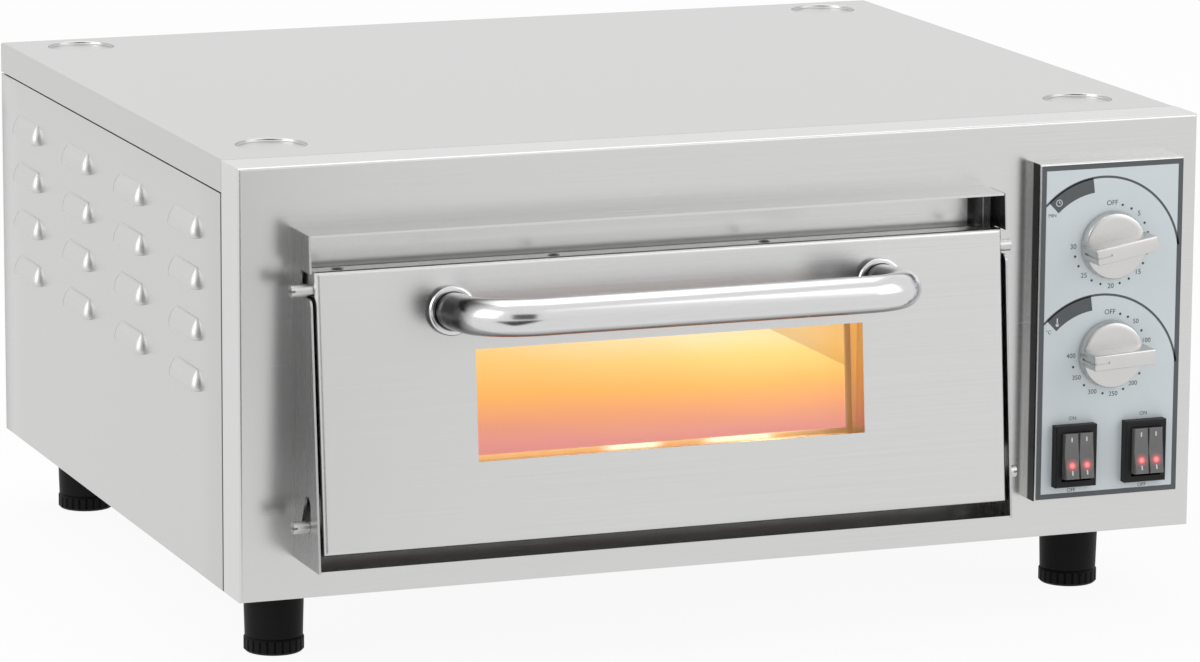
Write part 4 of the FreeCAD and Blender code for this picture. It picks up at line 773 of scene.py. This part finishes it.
def spin_line(shape, places, center, axis, angle, steps, merge=False):
    """Spins a line through some places about an axis."""
    points, lines = draw_line(shape, places)
    bmesh.ops.spin(shape, geom=points + lines, cent=center, axis=axis, dvec=(0, 0, 0), angle=angle,
                   steps=steps, use_merge=merge)


def add_turned(shape, profile, steps):
    """Spins an open profile of (radius, height) points about the Y axis and returns its vertices."""
    old = set(shape.verts)
    places = [(radius, height, 0) for radius, height in profile]
    spin_line(shape, places, (0, 0, 0), (0, 1, 0), math.tau, steps, merge=True)
    return [vertex for vertex in shape.verts if vertex not in old]


def add_block(shape, width, depth, height, center):
    """A box with its own middle, as a list of vertices."""
    made = bmesh.ops.create_cube(shape, size=1.0)["verts"]
    bmesh.ops.scale(shape, verts=made, vec=(width, depth, height))
    bmesh.ops.translate(shape, verts=made, vec=center)
    return made


def cut_across(shape, point, normal):
    """Divides every face that a plane crosses."""
    everything = list(shape.verts) + list(shape.edges) + list(shape.faces)
    bmesh.ops.bisect_plane(shape, geom=everything, dist=1e-7, plane_co=point, plane_no=normal)


def round_edges(shape, edges, width, segments):
    """Gives edges a soft radius."""
    bmesh.ops.bevel(shape, geom=edges, offset=width, offset_type="OFFSET", affect="EDGES",
                    segments=segments, profile=0.5, material=-1)


print("helpers for pieces ready")

# %% [markdown]
# ## The door handle
#
# The handle is a polished tube bent twice, on two round rosettes. Mirror-bright metal shows
# every facet, so the tube is drawn again with many segments: a ring of edges is extruded along
# the first leg, spun round the bend, extruded along the grip, and so on to the other end.
# It is drawn upright in the door's own frame and then leaned back with the door.

# %% Handle
DOOR_TILT = math.radians(5.1)
hinge = Vector(joints["door_hinge"]["pos_m"])
lean = Matrix.Translation(hinge) @ Matrix.Rotation(-DOOR_TILT, 4, "X")
HALF_SPAN, FACE, GRIP_Y, BEND, TUBE, RISE = 0.123, -0.0155, -0.0735, 0.030, 0.010, 0.11205
TUBE_SEGMENTS, BEND_STEPS, ROSETTE_STEPS = 56, 14, 64


def lengthen(shape, ring, step):
    """Extrudes a ring of edges by a step and returns the new ring."""
    made = bmesh.ops.extrude_edge_only(shape, edges=ring)["geom"]
    moved = {item for item in made if isinstance(item, bmesh.types.BMVert)}
    bmesh.ops.translate(shape, verts=list(moved), vec=step)
    return [item for item in made if isinstance(item, bmesh.types.BMEdge)
            and set(item.verts) <= moved]


def bend(shape, ring, center, angle):
    """Spins a ring of edges about an upright axis and returns the last ring."""
    points = list({vertex for edge in ring for vertex in edge.verts})
    made = bmesh.ops.spin(shape, geom=points + ring, cent=center, axis=(0, 0, 1), dvec=(0, 0, 0),
                          angle=angle, steps=BEND_STEPS, use_merge=False)["geom_last"]
    return [item for item in made if isinstance(item, bmesh.types.BMEdge)]


handle = bmesh.new()
bmesh.ops.create_circle(handle, cap_ends=False, segments=TUBE_SEGMENTS, radius=TUBE)
forward = Matrix.Rotation(math.pi / 2, 3, "X")
bmesh.ops.rotate(handle, verts=handle.verts, cent=(0, 0, 0), matrix=forward)
bmesh.ops.translate(handle, verts=handle.verts, vec=(-HALF_SPAN, FACE, RISE))
ring = lengthen(handle, list(handle.edges), (0, GRIP_Y + BEND - FACE, 0))
ring = bend(handle, ring, (BEND - HALF_SPAN, GRIP_Y + BEND, RISE), math.pi / 2)
ring = lengthen(handle, ring, (2 * (HALF_SPAN - BEND), 0, 0))
ring = bend(handle, ring, (HALF_SPAN - BEND, GRIP_Y + BEND, RISE), math.pi / 2)
lengthen(handle, ring, (0, FACE - GRIP_Y - BEND, 0))
add_piece(handle, "polished_handle", polished, "door", ["handle_tube"], 60.0, lean)

rosettes = bmesh.new()
for side in (-1, 1):
    made = add_turned(rosettes, [
        (0.0101, FACE), (0.0101, FACE - 0.0042), (0.0104, FACE - 0.0049), (0.0110, FACE - 0.0050),
        (0.0121, FACE - 0.0050), (0.0128, FACE - 0.0047), (0.0133, FACE - 0.0039),
        (0.0135, FACE - 0.0030), (0.0135, FACE - 0.0006), (0.0133, FACE)], ROSETTE_STEPS)
    bmesh.ops.translate(rosettes, verts=made, vec=(HALF_SPAN * side, 0, RISE))
add_piece(rosettes, "handle_collars", polished, "door", ["handle_rosettes"], 40.0, lean)

# %% [markdown]
# ## The side panels
#
# The ventilation louvres are pressed out of the side sheets, and a pressed edge is never sharp,
# so these panels are drawn again with soft lips. Each louvre is one profile, in millimetres out
# and up, spun round its front end, drawn along and spun round again. A thin dark strip at the
# back end is a painted shadow for the slit that the press leaves there.

# %% Louvres
side_low, side_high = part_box("left_side_panel")
SEAM = 0.0021
side_low.y += SEAM
LOUVRE_OUT, LOUVRE_HALF, MOUTH_HALF, MOUTH_HIGH = 0.0046, 0.0189, 0.0210, 0.0098
SIDE_FACE = side_low.x + LOUVRE_OUT
LOW_ROW, ROW_PITCH, FRONT_COLUMN, COLUMN_PITCH = 0.1465, 0.028, side_high.y - 0.377, 0.1055
LOUVRE_LOWS = [LOW_ROW + ROW_PITCH * row for row in range(4)]
LOUVRE_MIDDLES = [FRONT_COLUMN + COLUMN_PITCH * column for column in range(4)]
SLIT_START, SLIT_WIDTH, SLIT_LIFT = math.radians(9), math.radians(16), 0.03
LIP = [(0.0, 12.0), (0.4, 11.8), (1.1, 11.1), (2.0, 9.9), (2.9, 8.4), (3.65, 6.7), (4.2, 5.0),
       (4.5, 3.5), (4.6, 2.3), (4.52, 1.3), (4.25, 0.55), (3.85, 0.15), (3.4, 0.0)]


def add_louvre(shape, middle, low):
    """One pressed louvre with half-cone ends."""
    start = Vector((SIDE_FACE, middle - LOUVRE_HALF, low))
    ring = draw_line(shape, [start + Vector((0, -out / 1000, up / 1000)) for out, up in LIP])[1]
    ring = bend(shape, ring, start, -math.pi / 2)
    ring = lengthen(shape, ring, (0, 2 * LOUVRE_HALF, 0))
    bend(shape, ring, start + Vector((0, 2 * LOUVRE_HALF, 0)), -math.pi / 2)


def add_slit_shadow(shape, middle, low):
    """A dark strip at the back end of a louvre: painted shadow in the slit where the sheet is sheared."""
    start = Vector((SIDE_FACE, middle + LOUVRE_HALF, low))
    ray = Matrix.Rotation(-SLIT_START, 3, "Z") @ Vector((-1, 0, 0))
    places = [start + ray * ((out + SLIT_LIFT) / 1000) + Vector((0, 0, up / 1000)) for out, up in LIP[2:-1]]
    spin_line(shape, places, start, (0, 0, 1), -SLIT_WIDTH, 4)


print(len(LOUVRE_LOWS), "rows of", len(LOUVRE_MIDDLES), "louvres")

# %% [markdown]
# The sheet starts as one rectangle. Straight cuts divide it, the cells behind the louvres are
# taken out, and three edges are folded in. A dark strip in the seam to the front panel is a
# painted shadow.

# %% Side panels
SEAM_DEPTH, SEAM_LAP, FOLD, FOLD_RADIUS, CLOSE = 0.0002, 0.0004, 0.010, 0.0008, 1e-5
STAND = Matrix.Rotation(math.pi / 2, 4, "Z") @ Matrix.Rotation(math.pi / 2, 4, "X")


def add_upright(shape, across, front, back):
    """A flat sheet as high as the side panel, at one place across the oven."""
    middle = Vector((across, (front + back) / 2, (side_low.z + side_high.z) / 2))
    add_flat(shape, back - front, side_high.z - side_low.z, Matrix.Translation(middle) @ STAND)


def at_place(edge, axis, place):
    """Tells if an edge lies at one place on an axis."""
    return all(abs(getattr(vertex.co, axis) - place) < CLOSE for vertex in edge.verts)


def add_side_panel(side):
    """A folded side panel, its louvres, and dark strips of painted shadow in its gaps."""
    panel = bmesh.new()
    add_upright(panel, SIDE_FACE, side_low.y, side_high.y)
    for place in LOUVRE_MIDDLES:
        for edge_place in (place - MOUTH_HALF, place + MOUTH_HALF):
            cut_across(panel, (0, edge_place, 0), (0, 1, 0))
    for low in LOUVRE_LOWS:
        for edge_place in (low, low + MOUTH_HIGH):
            cut_across(panel, (0, 0, edge_place), (0, 0, 1))
    centers = [(face, face.calc_center_median()) for face in panel.faces]
    mouths = [face for face, center in centers
              if any(abs(center.y - place) < MOUTH_HALF for place in LOUVRE_MIDDLES)
              and any(low < center.z < low + MOUTH_HIGH for low in LOUVRE_LOWS)]
    bmesh.ops.delete(panel, geom=mouths, context="FACES")
    folds = [edge for edge in panel.edges if at_place(edge, "y", side_low.y)
             or at_place(edge, "y", side_high.y) or at_place(edge, "z", side_high.z)]
    lengthen(panel, folds, (FOLD, 0, 0))
    round_edges(panel, folds, FOLD_RADIUS, 3)
    louvres, shadow_strips = bmesh.new(), bmesh.new()
    for place in LOUVRE_MIDDLES:
        for low in LOUVRE_LOWS:
            add_louvre(louvres, place, low)
            add_slit_shadow(shadow_strips, place, low)
    # A dark strip in the seam to the front panel: painted shadow.
    add_upright(shadow_strips, SIDE_FACE + SEAM_DEPTH, side_low.y - SEAM, side_low.y + SEAM_LAP)
    if side == "right":
        for shape in (panel, louvres, shadow_strips):
            bmesh.ops.scale(shape, verts=shape.verts, vec=(-1, 1, 1))
    add_piece(panel, f"{side}_louvre_panel", painted_shade_side_steel, "casing",
              [f"{side}_side_panel"], 40.0)
    add_piece(louvres, f"{side}_louvres", painted_light_louvre_steel, "casing", smooth=40.0)
    add_piece(shadow_strips, f"{side}_painted_gap_shadows", painted_slit_shadow, "casing")


add_side_panel("left")
add_side_panel("right")

# %% [markdown]
# ## The dial knobs
#
# A knob is a shallow disc with a tall bar across it, moulded in one. The disc is a spun
# profile with a soft shoulder. The bar starts as a block; two cuts mark out the pointer groove
# near one end, and the strip between them is pushed in once the outer edges are rounded.

# %% Knobs
KNOB_RADIUS, SKIRT, KNOB_HEIGHT, KNOB_STEPS = 0.019, 0.006, 0.021, 72
BAR_WIDTH, BAR_LENGTH, BAR_ROUND, ROOTED = 0.0086, 0.0376, 0.0009, 0.001
GROOVE, GROOVE_LENGTH, GROOVE_DEPTH, NEAR_EDGE = 0.0006, 0.0090, 0.0007, 0.0012


def add_knob(name, joint_name, rest_degrees):
    """A dial knob, drawn with its pointer up and turned to where it stands."""
    joint = joints[joint_name]
    knob = bmesh.new()
    add_turned(knob, [
        (0.0, -SKIRT), (0.0150, -SKIRT), (0.0172, -SKIRT + 0.0001), (0.0181, -SKIRT + 0.0005),
        (0.0186, -SKIRT + 0.0013), (KNOB_RADIUS, -0.0008), (0.0189, -0.0002), (0.0186, 0.0),
        (0.0172, 0.0), (0.0160, -0.0042), (0.0, -0.0042)], KNOB_STEPS)
    bar = bmesh.new()
    add_block(bar, BAR_WIDTH, KNOB_HEIGHT - SKIRT + ROOTED, BAR_LENGTH,
              (0, -(KNOB_HEIGHT + SKIRT - ROOTED) / 2, 0))
    crown = [edge for edge in bar.edges if at_place(edge, "y", -KNOB_HEIGHT)]
    upright = [edge for edge in bar.edges if abs(edge.verts[0].co.y - edge.verts[1].co.y) > CLOSE]
    round_edges(bar, crown + upright, BAR_ROUND, 4)
    for side in (-1, 1):
        cut_across(bar, (GROOVE * side, 0, 0), (1, 0, 0))
    groove_start = BAR_LENGTH / 2 - GROOVE_LENGTH
    cut_across(bar, (0, 0, groove_start), (0, 0, 1))
    centers = [(face, face.calc_center_median()) for face in bar.faces]
    strip = [face for face, center in centers
             if abs(center.x) < GROOVE * 0.9 and center.z > groove_start and center.y < -SKIRT - ROOTED]
    made = bmesh.ops.extrude_face_region(bar, geom=strip)["geom"]
    bmesh.ops.delete(bar, geom=strip, context="FACES")
    sunk = [item for item in made if isinstance(item, bmesh.types.BMVert)]
    front = [vertex for vertex in sunk if vertex.co.y < -KNOB_HEIGHT + NEAR_EDGE]
    end = [vertex for vertex in sunk if vertex.co.z > BAR_LENGTH / 2 - NEAR_EDGE]
    bmesh.ops.translate(bar, verts=front, vec=(0, GROOVE_DEPTH, 0))
    bmesh.ops.translate(bar, verts=end, vec=(0, 0, -GROOVE_DEPTH))
    spare = bpy.data.meshes.new("bar")
    bar.to_mesh(spare)
    bar.free()
    knob.from_mesh(spare)
    bpy.data.meshes.remove(spare)
    place = Matrix.Translation(joint["pos_m"]) @ Matrix.Rotation(math.radians(rest_degrees), 4, "Y")
    add_piece(knob, name, knob_plastic, joint["child"], [name.replace("dial", "knob")],
              30.0, place)


add_knob("timer_dial", "timer_turn", 260)
add_knob("thermostat_dial", "thermostat_turn", 267)

# %% [markdown]
# ## The rocker switches
#
# Each switch has two smoky caps side by side, folded in the middle, each with a white line on
# both halves and a small red lamp behind the lower one. The cap starts as a block that is cut
# across the middle and pushed in there. The lamp is part of the cap's finish: a red core that
# fades into the smoke around it.

# %% Rocker caps
CAP_WIDTH, CAP_HALF, CAP_OUT, CAP_FOLD, CAP_ROUND = 0.0086, 0.0128, 0.0102, 0.0015, 0.0006
LAMP_BELOW, LAMP_BEHIND, LAMP_REACH = 0.0052, 0.001, 0.0042
MARK_WIDTH, MARK_DEPTH, MARK_LENGTH, MARK_PLACE, MARK_SUNK = 0.0008, 0.0002, 0.0076, 0.0068, 0.0006
REST_TILT = math.radians(-6)


def smoky_cap(name, center):
    """Smoky plastic with a red lamp behind it."""
    material, tree, shader = new_finish(name, rough=0.22, shine=1.0)
    feel = place_group(tree, skin, Pebble=2600.0, Cloud=60.0)
    paint(tree, shader, feel["Dust"], (0.095, 0.092, 0.092), (0.160, 0.156, 0.156))
    away = add_node(tree, "ShaderNodeVectorMath", operation="DISTANCE")
    away.inputs[1].default_value = center
    shine = add_node(tree, "ShaderNodeValToRGB")
    set_stops(shine, [(0.0, (1.0, 0.42, 0.40)), (0.30, (1.0, 0.10, 0.10)), (0.55, (0.22, 0.012, 0.014)),
                      (1.0, grey(0.0))])
    reach = add_node(tree, "ShaderNodeMapRange", From_Max=LAMP_REACH)
    wire(tree, (place_on(tree), away.inputs[0]), (away.outputs["Value"], reach.inputs["Value"]),
         (reach.outputs["Result"], shine.inputs["Fac"]),
         (shine.outputs["Color"], shader.inputs["Emission Color"]))
    shader.inputs["Coat Weight"].default_value = 0.4
    return material


def add_rocker(side, hand):
    """One rocker's cap and its two white lines."""
    joint = joints[f"{side}_{hand}_rocker_press"]
    place = Matrix.Translation(joint["pos_m"]) @ Matrix.Rotation(REST_TILT, 4, "X")
    cap = bmesh.new()
    add_block(cap, CAP_WIDTH, CAP_OUT, 2 * CAP_HALF, (0, -CAP_OUT / 2, 0))
    cut_across(cap, (0, 0, 0), (0, 0, 1))
    for vertex in cap.verts:
        if abs(vertex.co.z) < CLOSE and vertex.co.y < -CAP_OUT / 2:
            vertex.co.y += CAP_FOLD
    rim = [edge for edge in cap.edges if all(vertex.co.y < -CAP_OUT / 2 for vertex in edge.verts)
           and not at_place(edge, "z", 0)]
    round_edges(cap, rim, CAP_ROUND, 3)
    lamp = place @ Vector((0, LAMP_BEHIND - CAP_OUT, -LAMP_BELOW))
    name = f"{side}_switch_{hand}"
    add_piece(cap, f"{name}_cap", smoky_cap(f"{name}_smoke", lamp), joint["child"],
              [f"{name}_rocker"], 30.0, place)
    marks = bmesh.new()
    slope = math.atan2(CAP_FOLD, CAP_HALF)
    for upper in (-1, 1):
        made = add_block(marks, MARK_WIDTH, MARK_DEPTH, MARK_LENGTH, (0, 0, 0))
        bmesh.ops.rotate(marks, verts=made, cent=(0, 0, 0), matrix=Matrix.Rotation(slope * upper, 3, "X"))
        bmesh.ops.translate(marks, verts=made, vec=(0, MARK_SUNK - CAP_OUT, MARK_PLACE * upper))
    add_piece(marks, f"{name}_marks", print_light, joint["child"], place=place)


for side in ("left", "right"):
    for hand in ("left", "right"):
        add_rocker(side, hand)

# %% [markdown]
# ## The printed panel
#
# The film on the control panel carries a dark border, a big arc over each dial with a solid
# band at its upper left, a small picture in each band, and the scales. Each line is a thin
# strip: an edge is spun about the arc's centre, or a block is laid flat. Figures are text
# turned into meshes. All of it lies a hair in front of the film, and is measured from the
# control tray's upper left corner, to the right and down, in millimetres.

# %% Print helpers
film_low, film_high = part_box("control_fascia")
PANEL_LEFT, PANEL_TOP, PRINT_DEPTH = 0.1775, 0.259, 0.00012
DIAL_X, TIMER_DOWN, THERMOSTAT_DOWN = 44.0, 47.0, 108.5
CAPITAL_SHARE = 0.73


def on_film(across, down):
    """A point on the film, in metres."""
    return Vector((PANEL_LEFT + across / 1000, film_low.y, PANEL_TOP - down / 1000))


def print_bar(shape, across, down, width, height):
    """A flat printed rectangle about a point."""
    add_block(shape, width / 1000, PRINT_DEPTH, height / 1000, on_film(across, down))


def print_arc(shape, across, down, inner, outer, start, end, steps):
    """A printed ring segment; angles are in degrees, 0 to the right and 90 up."""
    center = on_film(across, down)
    center.y -= PRINT_DEPTH / 2
    first = math.radians(start)
    ray = Vector((math.cos(first), 0, math.sin(first)))
    places = [center + ray * (radius / 1000) for radius in (inner, outer)]
    spin_line(shape, places, center, (0, -1, 0), math.radians(end - start), steps)


def print_text(shape, words, across, down, height):
    """Words centred on a point of the film."""
    curve = bpy.data.curves.new("figures", "FONT")
    curve.body = words
    curve.align_x, curve.align_y = "CENTER", "CENTER"
    curve.size = height / 1000 / CAPITAL_SHARE
    curve.resolution_u = 3
    text = bpy.data.objects.new("figures", curve)
    mesh = bpy.data.meshes.new_from_object(text)
    place = on_film(across, down)
    place.y -= PRINT_DEPTH / 2
    mesh.transform(Matrix.Translation(place) @ Matrix.Rotation(math.pi / 2, 4, "X"))
    shape.from_mesh(mesh)
    bpy.data.objects.remove(text)
    bpy.data.curves.remove(curve)
    bpy.data.meshes.remove(mesh)


def around(down, degrees, radius):
    """A place on a dial's scale; degrees run clockwise from the top."""
    turn = math.radians(degrees)
    return DIAL_X + radius * math.sin(turn), down - radius * math.cos(turn)


print("film", tuple(round(value * 1000, 1) for value in film_high - film_low), "mm")

# %% [markdown]
# The border is four bars, just inside the film's edge. Each arc is a thin ring segment about a
# centre below the dial, and the band is a wide one with the same centre.

# %% Border, arcs and bands
EDGE, LINE = 0.9, 2.9
WIDTH, HEIGHT = 88.0, 190.0
ARC_X, ARC_RADIUS, BAND_RADIUS = 38.1, 47.4, 39.0
ARC_DOWNS = (56.0, 122.3)

grey_print = bmesh.new()
for across in (EDGE + LINE / 2, WIDTH - EDGE - LINE / 2):
    print_bar(grey_print, across, HEIGHT / 2, LINE, HEIGHT - 2 * EDGE)
for down in (EDGE + LINE / 2, HEIGHT - EDGE - LINE / 2):
    print_bar(grey_print, WIDTH / 2, down, WIDTH - 2 * (EDGE + LINE), LINE)
for down in ARC_DOWNS:
    print_arc(grey_print, ARC_X, down, ARC_RADIUS - 0.7, ARC_RADIUS + 0.6, 8, 136.5, 64)
    print_arc(grey_print, ARC_X, down, BAND_RADIUS, ARC_RADIUS, 97.3, 133.4, 24)
add_piece(grey_print, "panel_border_print", print_grey, "casing")

# %% [markdown]
# The timer counts 30 minutes in fives, with two dots between the figures. The thermostat runs
# to 400 degrees in fifties, with one dot between them. Small words stand at both bands and over
# and under each switch.

# %% Scales
RING, DOT = 23.4, 0.72
DOT_RING = RING - 0.6
LARGE, MIDDLE, SMALL, TINY = 2.9, 2.7, 2.2, 2.0
MINUTE_STEP, FIRST_HEAT, HEAT_STEP = 45, 43.0, 32.4
ON_DOWN, OFF_DOWN = 144.0, 184.9
TIMER_DOTS = [MINUTE_STEP * step + part for step in range(6) for part in (16, 31)]
HEAT_DOTS = [16, 29] + [FIRST_HEAT + HEAT_STEP * (mark + 0.5) for mark in range(7)]


def print_dots(shape, down, places):
    """Dots on a dial's scale."""
    for degrees in places:
        print_arc(shape, *around(down, degrees, DOT_RING), 0.0, DOT, 0, 360, 16)


scales = bmesh.new()
print_text(scales, "OFF", *around(TIMER_DOWN, 0, RING), LARGE)
for step in range(1, 7):
    print_text(scales, str(5 * step), *around(TIMER_DOWN, MINUTE_STEP * step, RING), LARGE)
print_dots(scales, TIMER_DOWN, TIMER_DOTS)
print_text(scales, "OFF", *around(THERMOSTAT_DOWN, 0, RING), LARGE)
for mark in range(8):
    degrees = FIRST_HEAT + HEAT_STEP * mark
    print_text(scales, str(50 * (mark + 1)), *around(THERMOSTAT_DOWN, degrees, RING), MIDDLE)
print_dots(scales, THERMOSTAT_DOWN, HEAT_DOTS)
print_text(scales, "MIN", 7.6, 28.8, TINY)
print_text(scales, "°C", 6.6, 94.4, SMALL)
for across in (22.4, 65.9):
    print_text(scales, "ON", across, ON_DOWN, SMALL)
    print_text(scales, "OFF", across, OFF_DOWN, SMALL)
add_piece(scales, "panel_scale_print", print_dark, "casing")

# %% [markdown]
# A clock face with two hands marks the timer's band, and a thermometer the other one. They are
# light on the dark band, so they are lifted a hair further.

# %% Clock and thermometer in the bands
CLOCK_X, CLOCK_DOWN, GLASS_X, GLASS_DOWN = 11.6, 21.9, 11.8, 89.0
LIFT = Vector((0, -0.00006, 0))

pictures = bmesh.new()
print_arc(pictures, CLOCK_X, CLOCK_DOWN, 1.55, 2.0, 0, 360, 40)
print_bar(pictures, CLOCK_X, CLOCK_DOWN - 0.5, 0.4, 1.3)
print_bar(pictures, CLOCK_X + 0.4, CLOCK_DOWN, 1.1, 0.4)
print_arc(pictures, GLASS_X, GLASS_DOWN + 1.5, 0.0, 1.0, 0, 360, 28)
print_bar(pictures, GLASS_X, GLASS_DOWN - 0.6, 0.8, 3.4)
bmesh.ops.translate(pictures, verts=pictures.verts, vec=LIFT)
add_piece(pictures, "panel_picture_print", print_light, "casing")
